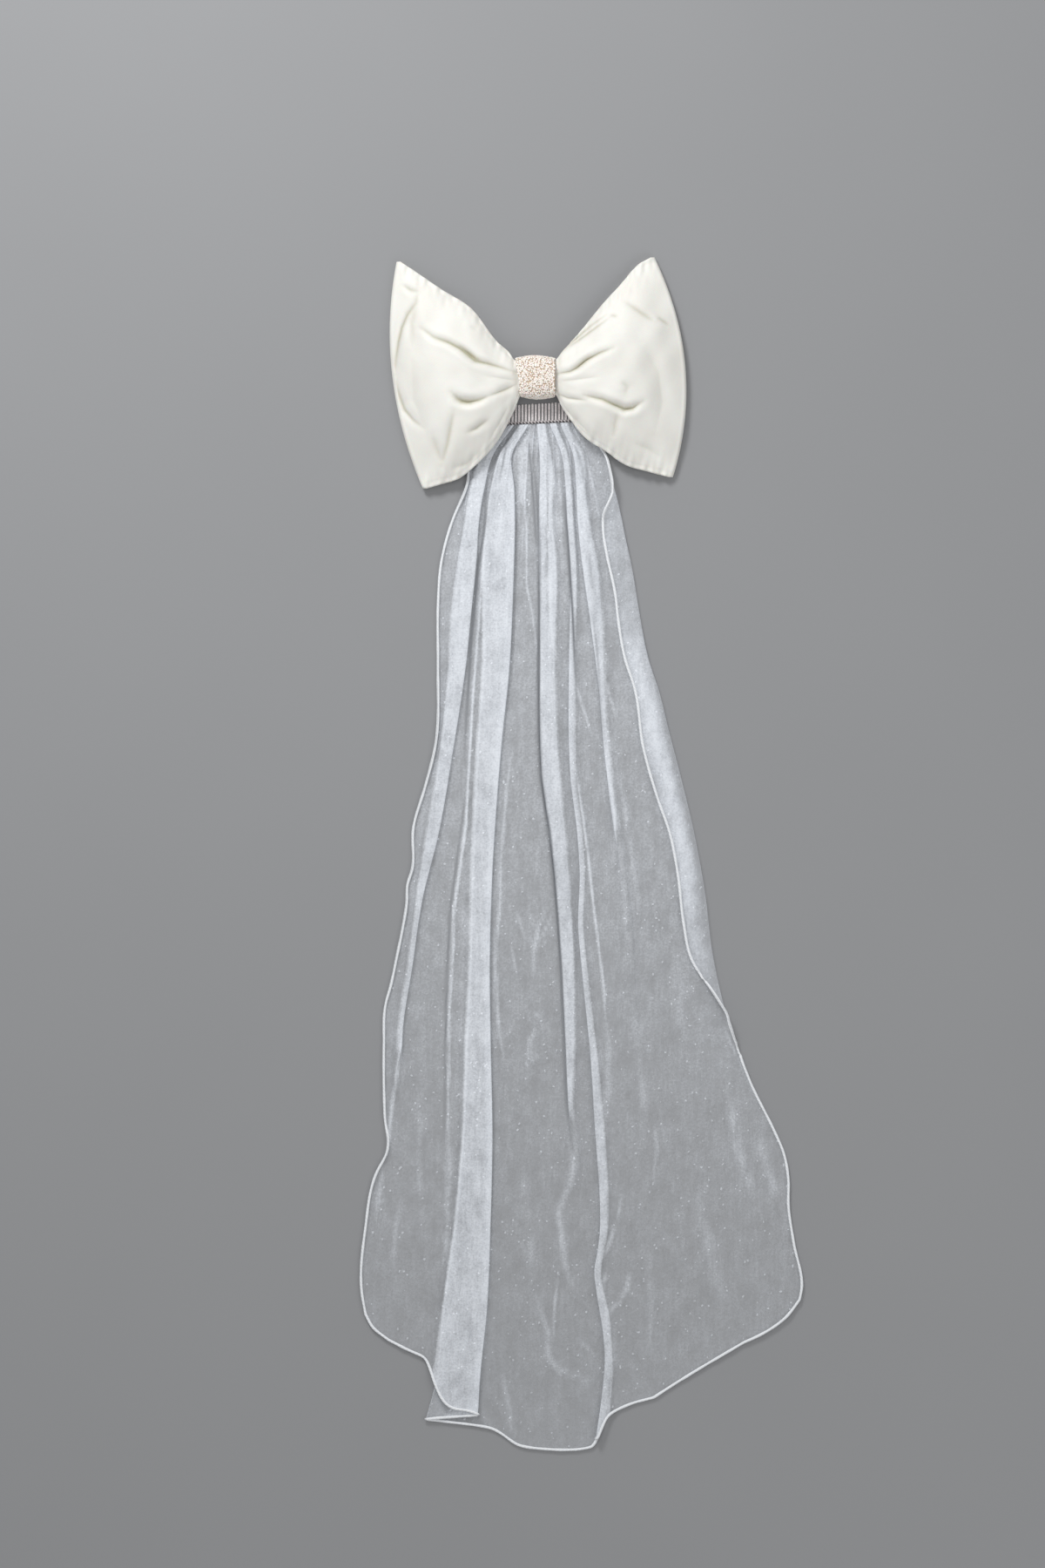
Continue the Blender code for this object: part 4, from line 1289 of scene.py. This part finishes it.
            lift += self.gather_height * shape
            fullness += full * shape * self.gather_gain
        grid[..., 2] += lift
        across, down = np.gradient(grid, axis=1), np.gradient(grid, axis=0)
        upright = np.abs(unit(np.cross(across, down))[..., 2])
        steep = self.steep_fullness * (1 / np.maximum(upright, self.steepest) - 1)
        fullness += np.minimum(steep, self.most_steep_fullness)
        return grid, np.maximum(fullness, self.least_fullness)

    def build(self, organza: Material, cord: Material) -> tuple[Piece, Piece]:
        """Makes the sheet and the cord in its hem.

        Args:
            organza: the sheet's finish.
            cord: the cord's finish.

        Returns:
            The sheet and the cord.
        """
        grid, fullness = self.surface()
        rows, columns = grid.shape[:2]
        across = run_length(grid[self.rows * 2 // 3]) * MM
        # The sheet's marks: its fullness, and how deep the painted shade in its gaps is
        sheet = make_piece(
            "veil_sheet", grid.reshape(-1, 3), grid_faces(rows, columns), organza,
            cloth_uv(across, np.linspace(0, self.length, rows)),
            {"fullness": fullness.ravel(), "painted_gap_shade": self.shade(grid).ravel()},
        )
        return sheet, self.build_cord(grid, cord)

    def build_cord(self, grid: np.ndarray, finish: Material) -> Piece:
        """The cord: a tube along the sheet's left edge, bottom and right edge, just outside them."""
        edge = np.vstack([grid[:-1, 0], grid[-1], grid[-2::-1, -1]])
        # A little further in, to tell which way is out
        inner = np.vstack([grid[:-1, 3], grid[-8], grid[-2::-1, -4]])
        tangent = unit(np.gradient(edge, axis=0))
        out = edge - inner
        out = unit(out - (out * tangent).sum(-1, keepdims=True) * tangent)
        path = edge + out * self.cord_radius * self.cord_offset
        path[:, 2] = np.maximum(path[:, 2], self.cord_radius * self.cord_clearance)
        length = run_length(path)
        uneven = (depth * np.sin(length / wave + phase) for depth, wave, phase in self.cord_waves)
        points, faces = tube(path, self.cord_radius * sum(uneven, start=1), out, self.cord_sides)
        ring = np.linspace(0, 2 * math.pi * self.cord_radius, self.cord_sides, endpoint=False)
        down = np.concatenate([[0], length, length[-1:]])
        piece = make_piece("hem_roll", points, faces, finish, cloth_uv(ring, down) * MM)
        weld(piece)
        return piece


# The bow


@dataclass
class BowLoop:
    """One loop of the bow: a strip of crepe that runs out from the knot, folds over and comes back.

    Attributes:
        name: the piece's name.
        side: which way it points.
        outline: a row for each section from the throat to the outer fold: top x, top y, bottom x, bottom y,
            outward bulge.
        creases: what is pressed into its front, each with painted shade along it.
    """

    name: str
    side: Side
    outline: Table
    creases: Sequence[Crease]
    wall: float = 1.3
    fold_reach: float = 4.0
    front_rows: int = 130
    turn_rows: int = 9
    back_rows: int = 40
    across: int = 150
    crown_power: float = 2.6
    seam_inset: float = 4.5
    seam_depth: float = 0.4
    seam_width: float = 1.1
    trough_power: float = 1.25
    ridge_share: float = 0.16
    ridge_place: float = 2.1
    ridge_width: float = 1.2
    shade_width: float = 0.62
    crease_margin: float = 0.03
    crease_power: float = 0.7
    strip_width: float = 0.26
    unevenness: float = 1.1
    pucker: float = 2.2
    pucker_reach: float = 8.0

    # For each section: height of the front's edges, crown of the front, height of the back at its top edge
    # and at its bottom edge
    heights = (
        (22, 3, 16.5, 16.5), (21.5, 5, 16.5, 16.5), (20, 10, 11, 12), (17, 19, 4, 8), (15, 25, 1.5, 7.3),
        (13, 24, 0.8, 7.2), (11, 15, 0.8, 1.6), (9, 4, 0.8, 0.8),
    )
    # Soft relief: wave length along x, along y, and phase
    undulation = ((63, 88, 0.1), (-47, 71, 0.6), (35, -52, 0.3), (29, 90, 0.8))
    puckers = ((11, 37, 0.0), (-16, 29, 0.35), (8.5, -41, 0.6))

    def sheet_lines(self, stations: np.ndarray) -> tuple[np.ndarray, np.ndarray, np.ndarray, np.ndarray]:
        """The strip's x and y, and the heights of its front and back, at these shares of its length.

        Across the strip t runs from -1 at the bottom edge to 1 at the top edge. The front's height is its
        edge height plus the crown times (1 less t to a power), and its outward bulge follows 1 less t
        squared.
        """
        t = np.linspace(-1, 1, self.across)
        rows = smooth_rows(np.hstack([self.outline, self.heights]), stations)[:, :, None]
        share = (t + 1) / 2
        x = rows[:, 2] + (rows[:, 0] - rows[:, 2]) * share + self.side.value * rows[:, 4] * (1 - t**2)
        y = rows[:, 3] + (rows[:, 1] - rows[:, 3]) * share
        front = rows[:, 5] + rows[:, 6] * (1 - np.abs(t) ** self.crown_power)
        back = rows[:, 8] + (rows[:, 7] - rows[:, 8]) * share
        return x, y, front, back

    def surface(self) -> Pair:
        """The strip as a grid: out along the front, round the outer fold, and back along the back.

        A crease's trough is e to the minus of the distance over its half width, to a power, and a low ridge
        runs on each side of it. Puckers are deepest at the seams along the strip's edges.

        Returns:
            The grid, and how deep each point is in the painted shade of a crease, 0 to 1.
        """
        x, y, z, _ = self.sheet_lines(np.linspace(0, 1, self.front_rows))
        shade = np.zeros(x.shape)
        for crease in self.creases:
            away, share = from_line(x, y, crease.line)
            half = crease.half_width
            fade = faded(share, self.crease_margin, self.crease_power)
            trough = np.exp(-np.abs(away / half) ** self.trough_power)
            ridge = bell(np.abs(away) - self.ridge_place * half, self.ridge_width * half)
            z = z + crease.height * fade * (trough - self.ridge_share * ridge)
            # Painted shade along the crease, read by the crepe's colour
            shade = np.maximum(shade, crease.fullness * fade * bell(away, self.shade_width * half))
        t = np.linspace(-1, 1, self.across)
        span = np.hypot(x[:, -1] - x[:, 0], y[:, -1] - y[:, 0])[:, None] / 2
        from_edge = (1 - np.abs(t)) * span
        z = z - self.seam_depth * bell(from_edge - self.seam_inset, self.seam_width)
        z = z + self.unevenness * ripples(x, y, self.undulation)
        z = z + self.pucker * np.exp(-from_edge / self.pucker_reach) * ripples(x, y, self.puckers)
        front = np.stack([x, y, z], axis=2)
        x, y, _, z = self.sheet_lines(np.linspace(1, 0, self.back_rows))
        back = np.stack([x, y, np.broadcast_to(z, x.shape)], axis=2)
        angle = np.linspace(0, math.pi, self.turn_rows + 2)[1:-1, None, None]
        middle, half = (front[-1] + back[0]) / 2, (front[-1] - back[0]) / 2
        reach = np.array([self.side.value * self.fold_reach, 0, 0])
        turn = middle + half * np.cos(angle) + reach * np.sin(angle)
        grid = np.concatenate([front, turn, back])
        return grid, np.pad(shade, ((0, len(grid) - len(shade)), (0, 0)))

    def build(self, crepe: Material) -> Piece:
        """Makes the loop in crepe."""
        grid, shade = self.surface()
        rows, columns = grid.shape[:2]
        down = run_length(grid[:, columns // 2]) * MM
        piece = make_piece(
            self.name, grid.reshape(-1, 3), grid_faces(rows, columns), crepe,
            cloth_uv(np.linspace(0, self.strip_width, columns), down), {"crease": shade.ravel()},
        )
        thicken(piece, self.wall)
        return piece


LEFT_LOOP = BowLoop(
    "bow_left_cloth", Side.LEFT,
    (
        (-54.5, 555, -54.5, 533, 0),
        (-76.5, 564, -69.5, 526, 0),
        (-84, 574, -78, 507, 1),
        (-101, 590, -95, 475, 3),
        (-127, 624, -116, 450, 8),
        (-161, 646, -140, 430, 13),
        (-190, 666, -161, 423, 18),
        (-208, 678, -178, 418, 20),
    ),
    (
        Crease(
            -5.5, 3.4,
            (
                (-184, 601), (-169, 590), (-152, 584), (-139, 577), (-122, 563), (-108, 560), (-94, 556),
                (-76, 550),
            ),
            0.95,
        ),
        Crease(-5.0, 3.8, ((-149, 527), (-141, 519), (-131, 516), (-118, 518), (-106, 523)), 0.9),
        Crease(-3.0, 4.4, ((-142, 581), (-131, 573), (-122, 566), (-114, 561)), 0.95),
        Crease(-3.0, 5.0, ((-147, 523), (-138, 517), (-128, 516), (-119, 518)), 0.95),
        Crease(-2.2, 3.0, ((-108, 522), (-96, 527), (-84, 532), (-76, 536)), 0.55),
        Crease(-3.0, 3.6, ((-147, 505), (-151, 484), (-154, 468), (-161, 444)), 0.5),
        Crease(-2.6, 3.4, ((-132, 481), (-121, 486), (-108, 496)), 0.5),
        Crease(
            -3.6, 3.0,
            ((-187, 643), (-190, 630), (-200, 616), (-206, 602), (-210, 585), (-213, 565), (-215, 548)),
            0.75,
        ),
        Crease(-2.4, 3.6, ((-215, 545), (-210, 527), (-203, 508), (-192, 495), (-181, 487)), 0.6),
        Crease(-1.8, 5.0, ((-190, 628), (-195, 606), (-193, 577)), 0.25),
        Crease(-3.4, 12.0, ((-186, 606), (-195, 565), (-193, 520), (-178, 480)), 0.07),
        Crease(-1.6, 5.0, ((-171, 478), (-166, 462), (-160, 446)), 0.2),
        Crease(-1.2, 4.0, ((-128, 604), (-120, 598)), 0.15),
        Crease(-2.4, 3.2, ((-205, 651), (-196, 645), (-186, 643)), 0.5),
        Crease(-1.5, 3.5, ((-100, 588), (-90, 578), (-80, 564)), 0.15),
        Crease(-1.2, 3.0, ((-112, 546), (-92, 543), (-76, 541)), 0.1),
        Crease(-1.4, 3.0, ((-108, 470), (-96, 490), (-84, 512)), 0.12),
        Crease(-1.3, 3.5, ((-150, 440), (-132, 446), (-118, 460)), 0.15),
    ),
)
RIGHT_LOOP = BowLoop(
    "bow_right_cloth", Side.RIGHT,
    (
        (-51.5, 555, -51.5, 533, 0),
        (-31, 564, -31, 526, 0),
        (-20, 577, -20, 507, 1),
        (2, 602, 3, 477, 4),
        (24, 629, 27, 461, 9),
        (43, 650, 50, 445, 15),
        (63, 673, 77, 437, 21),
        (79, 683, 100, 431, 25),
    ),
    (
        Crease(-4.6, 3.0, ((-30, 548), (-14, 551), (-6, 555), (5, 564), (20, 572), (36, 578)), 0.95),
        Crease(-2.4, 3.8, ((-12, 552), (-4, 557), (6, 565), (15, 570)), 0.9),
        Crease(-2.6, 4.2, ((34, 515), (48, 508), (58, 509), (67, 515)), 0.95),
        Crease(-2.2, 2.6, ((-28, 526), (-16, 521), (5, 518)), 0.5),
        Crease(-5.0, 3.4, ((2, 524), (24, 519), (37, 513), (50, 508), (59, 510), (70, 517)), 0.95),
        Crease(-2.4, 2.4, ((-28, 568), (-11, 585), (12, 605), (29, 617)), 0.55),
        Crease(-2.2, 2.4, ((-19, 577), (-2, 588), (17, 602), (32, 613)), 0.6),
        Crease(-1.4, 3.0, ((32, 616), (41, 614)), 0.45),
        Crease(-2.6, 3.6, ((50, 631), (67, 619), (84, 608)), 0.5),
        Crease(-1.8, 3.2, ((86, 614), (101, 604)), 0.45),
        Crease(-1.8, 4.0, ((41, 504), (38, 490), (36, 474)), 0.3),
        Crease(-1.4, 4.0, ((45, 540), (52, 533), (50, 524)), 0.2),
        Crease(-2.4, 9.0, ((70, 585), (88, 550), (92, 515), (84, 480)), 0.07),
        Crease(-1.2, 3.0, ((-24, 540), (-4, 542), (20, 545)), 0.1),
        Crease(-1.4, 3.0, ((-24, 514), (-4, 494), (14, 474)), 0.12),
        Crease(-1.3, 4.0, ((60, 470), (78, 462), (92, 452)), 0.1),
    ),
)


@dataclass
class BeadedKnot:
    """The knot: a band round the middle of the bow, sewn all over with seed beads."""

    wall: float = 1.6
    top: float = 570.0
    bottom: float = 520.0
    left_at_top: float = -76.0
    left_at_bottom: float = -69.0
    right: float = -31.0
    underside: float = 2.6
    crest: float = 37.0
    roundness: float = 2.5
    swell: float = 3.0
    bead_pitch: float = 2.2
    bead_radius: float = 1.55
    bead_flatness: float = 0.6
    lowest_bead: float = 5.5
    bead_sink: float = 0.3
    bead_jitter: float = 0.34
    bead_sizes: tuple[float, float] = (0.66, 1.2)
    bead_squashes: tuple[float, float] = (0.72, 1.0)
    bead_leans: tuple[float, float] = (-0.3, 0.5)
    pink_spread: tuple[float, float] = (0.6, 2.4)
    route_points: int = 1500
    seed: int = 7
    band_share: float = 0.8
    band_sides: int = 96
    band_rows: int = 20
    band_reach: float = 0.025
    band_width: float = 0.045

    def ring(self, around: np.ndarray, along: np.ndarray, inset: float) -> np.ndarray:
        """Points on the band.

        The ring is a superellipse in Y and Z: each of its cosine and sine is raised to 2 over the roundness,
        keeping its sign. Its left side slants, and it swells in the middle of its width.

        Args:
            around: the angle round the band.
            along: the share of the way from its left side to its right one.
            inset: how far inside the band's outer face.

        Returns:
            The points, shaped as the two arrays together.
        """
        half_y = (self.top - self.bottom) / 2 - inset
        half_z = (self.crest - self.underside) / 2 - inset
        power = 2 / self.roundness
        unit_y = np.sign(np.cos(around)) * np.abs(np.cos(around)) ** power
        unit_z = np.sign(np.sin(around)) * np.abs(np.sin(around)) ** power
        swell = self.swell * (np.sin(math.pi * along) - 1)
        y = (self.top + self.bottom) / 2 + (half_y + swell) * unit_y
        z = (self.crest + self.underside) / 2 + (half_z + swell * (unit_z > 0)) * unit_z
        slant = (self.left_at_top - self.left_at_bottom) / (self.top - self.bottom)
        left = self.left_at_bottom + slant * (y - self.bottom)
        x = left + (self.right - left) * along
        return np.stack(np.broadcast_arrays(x, y, z), axis=-1)

    def build_band(self, cloth: Material) -> Piece:
        """Makes the cloth band under the beads."""
        around = np.linspace(0, 2 * math.pi, self.band_sides, endpoint=False)
        along = np.linspace(0, 1, self.band_rows)
        grid = self.ring(around[None, :], along[:, None], self.wall)
        piece = make_piece(
            "knot_band", grid.reshape(-1, 3), grid_faces(self.band_rows, self.band_sides, closed=True),
            cloth, cloth_uv(around * self.band_reach, along * self.band_width),
        )
        thicken(piece, self.wall * self.band_share)
        return piece

    def build_beads(self, finish: Material) -> Piece:
        """Makes the beads as one mesh.

        They sit in uneven rows at equal steps round the band, each an octahedron split once and blown round.
        """
        rng = np.random.default_rng(self.seed)
        fine = np.linspace(0, 2 * math.pi, self.route_points)
        route = self.ring(fine, np.full_like(fine, 0.5), 0.0)
        length = run_length(route)
        rows = int(length[-1] / self.bead_pitch)
        columns = int((self.right - self.left_at_bottom) / self.bead_pitch) + 1
        steps, places = np.meshgrid(np.arange(rows), np.arange(columns), indexing="ij")
        jitter = self.bead_jitter
        steps = steps + rng.uniform(-jitter, jitter, steps.shape)
        places = places + 0.5 * (np.arange(rows)[:, None] % 2) + rng.uniform(-jitter, jitter, places.shape)
        around = np.interp(steps.ravel() * length[-1] / rows, length, fine)
        along = np.clip(places.ravel() / columns, 0.0, 1.0)
        centres = self.ring(around, along, self.bead_sink)
        keep = centres[:, 2] > self.lowest_bead
        centres, around, along = centres[keep], around[keep], along[keep]
        step = 1e-3
        ahead, behind = (self.ring(around + way, along, self.bead_sink) for way in (step, -step))
        tangent = unit(ahead - behind)
        side = np.array([1.0, 0.0, 0.0])
        normal = unit(np.cross(tangent, side))
        ball, faces = self.bead_shape()
        radius = self.bead_radius * rng.uniform(*self.bead_sizes, (len(centres), 1, 1))
        squash = rng.uniform(*self.bead_squashes, (len(centres), 1, 1))
        turn = rng.uniform(0, math.pi, len(centres))
        first = np.cos(turn)[:, None] * tangent + np.sin(turn)[:, None] * side
        second = np.cross(normal, first)
        lean = rng.uniform(*self.bead_leans, (len(centres), 1, 1))
        out = unit(normal + lean[:, 0] * first)
        points = centres[:, None] + radius * (
            ball[None, :, :1] * first[:, None] * squash + ball[None, :, 1:2] * second[:, None]
            + ball[None, :, 2:] * out[:, None] * self.bead_flatness
        )
        faces = (faces[None] + np.arange(len(centres))[:, None, None] * len(ball)).reshape(-1, 3)
        tint = np.repeat(rng.beta(*self.pink_spread, len(centres)), len(ball))
        piece = make_piece("knot_beads", points.reshape(-1, 3), faces, finish, marks={"tint": tint})
        weld(piece, within=1e-7)
        return piece

    @staticmethod
    def bead_shape() -> Pair:
        """An octahedron with each face split in four and its points at length 1."""
        corners = np.array([(1, 0, 0), (0, 1, 0), (-1, 0, 0), (0, -1, 0), (0, 0, 1), (0, 0, -1)], float)
        faces = [(0, 1, 4), (1, 2, 4), (2, 3, 4), (3, 0, 4), (1, 0, 5), (2, 1, 5), (3, 2, 5), (0, 3, 5)]
        points, split, middles = list(corners), [], {}

        def middle(a: int, b: int) -> int:
            """The number of the point half way between two corners, made the first time it is asked for."""
            key = (min(a, b), max(a, b))
            if key not in middles:
                middles[key] = len(points)
                points.append(unit(corners[a] + corners[b]))
            return middles[key]

        for a, b, c in faces:
            ab, bc, ca = middle(a, b), middle(b, c), middle(c, a)
            split += [(a, ab, ca), (ab, b, bc), (ca, bc, c), (ab, bc, ca)]
        return np.array(points), np.array(split)


# The comb


@dataclass
class WireComb:
    """The comb: a rail wrapped in a wire coil, with a hairpin tooth for each turn."""

    left: float = -89.0
    right: float = -5.0
    left_y: float = 492.4
    tilt: float = 0.045
    height: float = 1.75
    rail_radius: float = 0.7
    coil_radius: float = 1.15
    coil_wire: float = 0.55
    coils: int = 22
    tooth_length: float = 20.3
    tooth_wire: float = 0.62
    tooth_foot: float = 0.5
    tooth_jitter: float = 0.5
    leg_spacing: float = 1.25
    rail_points: int = 60
    rail_sides: int = 10
    coil_points: int = 16
    coil_sides: int = 6
    coil_flatness: float = 0.98
    leg_points: int = 8
    bend_points: int = 9
    tooth_sides: int = 8
    seed: int = 3

    def rail_y(self, x: np.ndarray | float) -> np.ndarray | float:
        """The height y of the rail, which lies a little askew."""
        return self.left_y + (x - self.left) * self.tilt

    def build(self, wire: Material) -> Piece:
        """Makes the rail, its coil and the teeth as one mesh.

        The coil is a helix: x rises evenly while y and z go round. A tooth is a straight leg, half a circle
        and a straight leg back. The rail's points carry the mark for painted shade, which darkens the rail
        inside the coil.
        """
        pitch = (self.right - self.left) / self.coils
        up, along = np.array([0, 0, 1.0]), np.array([1.0, 0, 0])
        x = np.linspace(self.left, self.right, self.rail_points)
        rail = np.stack([x, self.rail_y(x), np.full_like(x, self.height)], axis=1)
        parts = [tube(rail, self.rail_radius, up, self.rail_sides)]
        turn = np.linspace(0, 2 * math.pi * self.coils, self.coils * self.coil_points)
        x = self.left + (self.right - self.left) * turn / turn[-1]
        y = self.rail_y(x) + self.coil_radius * np.cos(turn)
        z = self.height + self.coil_radius * np.sin(turn) * self.coil_flatness
        parts.append(tube(np.stack([x, y, z], axis=1), self.coil_wire, along, self.coil_sides))
        half = self.leg_spacing / 2
        bend = np.linspace(0, math.pi, self.bend_points)[1:-1]
        straight = np.full(self.leg_points, half)
        rng = np.random.default_rng(self.seed)
        for tooth in range(self.coils):
            middle = self.left + (tooth + 0.5) * pitch
            root = float(self.rail_y(middle))
            foot = root + self.coil_radius * self.tooth_foot
            tip = root + self.tooth_length + rng.uniform(-self.tooth_jitter, self.tooth_jitter)
            leg = np.linspace(foot, tip, self.leg_points)
            x = np.concatenate([middle - straight, middle - half * np.cos(bend), middle + straight])
            y = np.concatenate([leg, tip + half * np.sin(bend), leg[::-1]])
            hairpin = np.stack([x, y, np.full_like(x, self.height)], axis=1)
            parts.append(tube(hairpin, self.tooth_wire, up, self.tooth_sides))
        points, faces = joined(parts)
        # Marks the rail's points for painted shade
        painted_coil_shade = np.zeros(len(points))
        painted_coil_shade[: len(parts[0][0])] = 1
        piece = make_piece("wire_comb", points, faces, wire, marks={"painted_coil_shade": painted_coil_shade})
        weld(piece)
        return piece


# The setting


@dataclass
class Studio:
    """A pale table, soft light from beyond the bow, and a camera straight above."""

    table_side: float = 7.0
    camera_at: Triple = (-0.06785, 0.08077, 12.0)
    picture_height: float = 1.8
    sensor: float = 36.0
    ambient: float = 0.45

    # Name, place, the point that it faces, side in metres, watts
    lamps = (
        ("key_light", (-0.9, 2.1, 1.7), (-0.1, 0.35, 0), 0.7, 36),
        ("fill_light", (1.8, -1.2, 2.6), (0, -0.2, 0), 2.0, 14),
        ("top_light", (-0.3, 0.9, 3.2), (-0.05, 0.4, 0), 0.8, 9),
    )

    def build(self, table: Material) -> None:
        """Makes the table, the lights and the camera."""
        half = self.table_side / 2 / MM
        corners = np.array([(-half, -half, 0), (half, -half, 0), (half, half, 0), (-half, half, 0)], float)
        make_piece("table_top", corners - CENTRING, np.array([[0, 1, 2, 3]]), table)
        world = bpy.data.worlds.new("studio")
        world.use_nodes = True
        light = world.node_tree.nodes["Background"].inputs
        light["Color"].default_value = (1.0, 1.0, 1.0, 1)
        light["Strength"].default_value = self.ambient
        bpy.context.scene.world = world
        for lamp in self.lamps:
            self.lamp(*lamp)
        data = bpy.data.cameras.new("camera")
        data.sensor_width = self.sensor
        data.lens = self.sensor * self.camera_at[2] / self.picture_height
        camera = bpy.data.objects.new("camera", data)
        camera.location = self.camera_at
        bpy.context.scene.collection.objects.link(camera)
        bpy.context.scene.camera = camera

    @staticmethod
    def lamp(name: str, at: Sequence[float], towards: Sequence[float], side: float, watts: float) -> None:
        """Makes a square soft light that faces a point."""
        data = bpy.data.lights.new(name, "AREA")
        data.energy, data.size = watts, side
        lamp = bpy.data.objects.new(name, data)
        lamp.location = at
        lamp.rotation_euler = (Vector(towards) - Vector(at)).to_track_quat("-Z", "Y").to_euler()
        bpy.context.scene.collection.objects.link(lamp)


def main() -> None:
    """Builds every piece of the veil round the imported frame."""
    logging.basicConfig(level=logging.INFO, format="%(name)s: %(message)s")
    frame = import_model()
    crepe = CrepeFinish().make()
    sheet, cord = VeilPanel().build(OrganzaFinish().make(), CordFinish().make())
    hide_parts("veil_panel")
    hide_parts("hem_cord")
    left, right = LEFT_LOOP.build(crepe), RIGHT_LOOP.build(crepe)
    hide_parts("bow_loop_left")
    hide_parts("bow_loop_right")
    knot = BeadedKnot()
    band, beads = knot.build_band(BandFinish().make()), knot.build_beads(BeadFinish().make())
    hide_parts("beaded_band")
    comb = WireComb().build(WireFinish().make())
    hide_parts(*(name for name in frame["nodes"] if name.startswith("comb_")))
    slots = (
        (sheet, "organza"), (cord, "hem_cord"), (left, "ivory_crepe"), (right, "ivory_crepe"),
        (band, "seed_beads"), (beads, "seed_beads"), (comb, "silver_wire"),
    )
    for piece, slot in slots:
        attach(piece, ONLY_BODY)
        LOG.info("%s: %d points in %s", piece.name, len(piece.data.vertices), slot)
    Studio().build(TableFinish().make())
    bpy.context.scene.cycles.transparent_max_bounces = LAYERS_SEEN_THROUGH
    bpy.context.scene.view_settings.view_transform = "Standard"


if __name__ == "__main__":
    main()
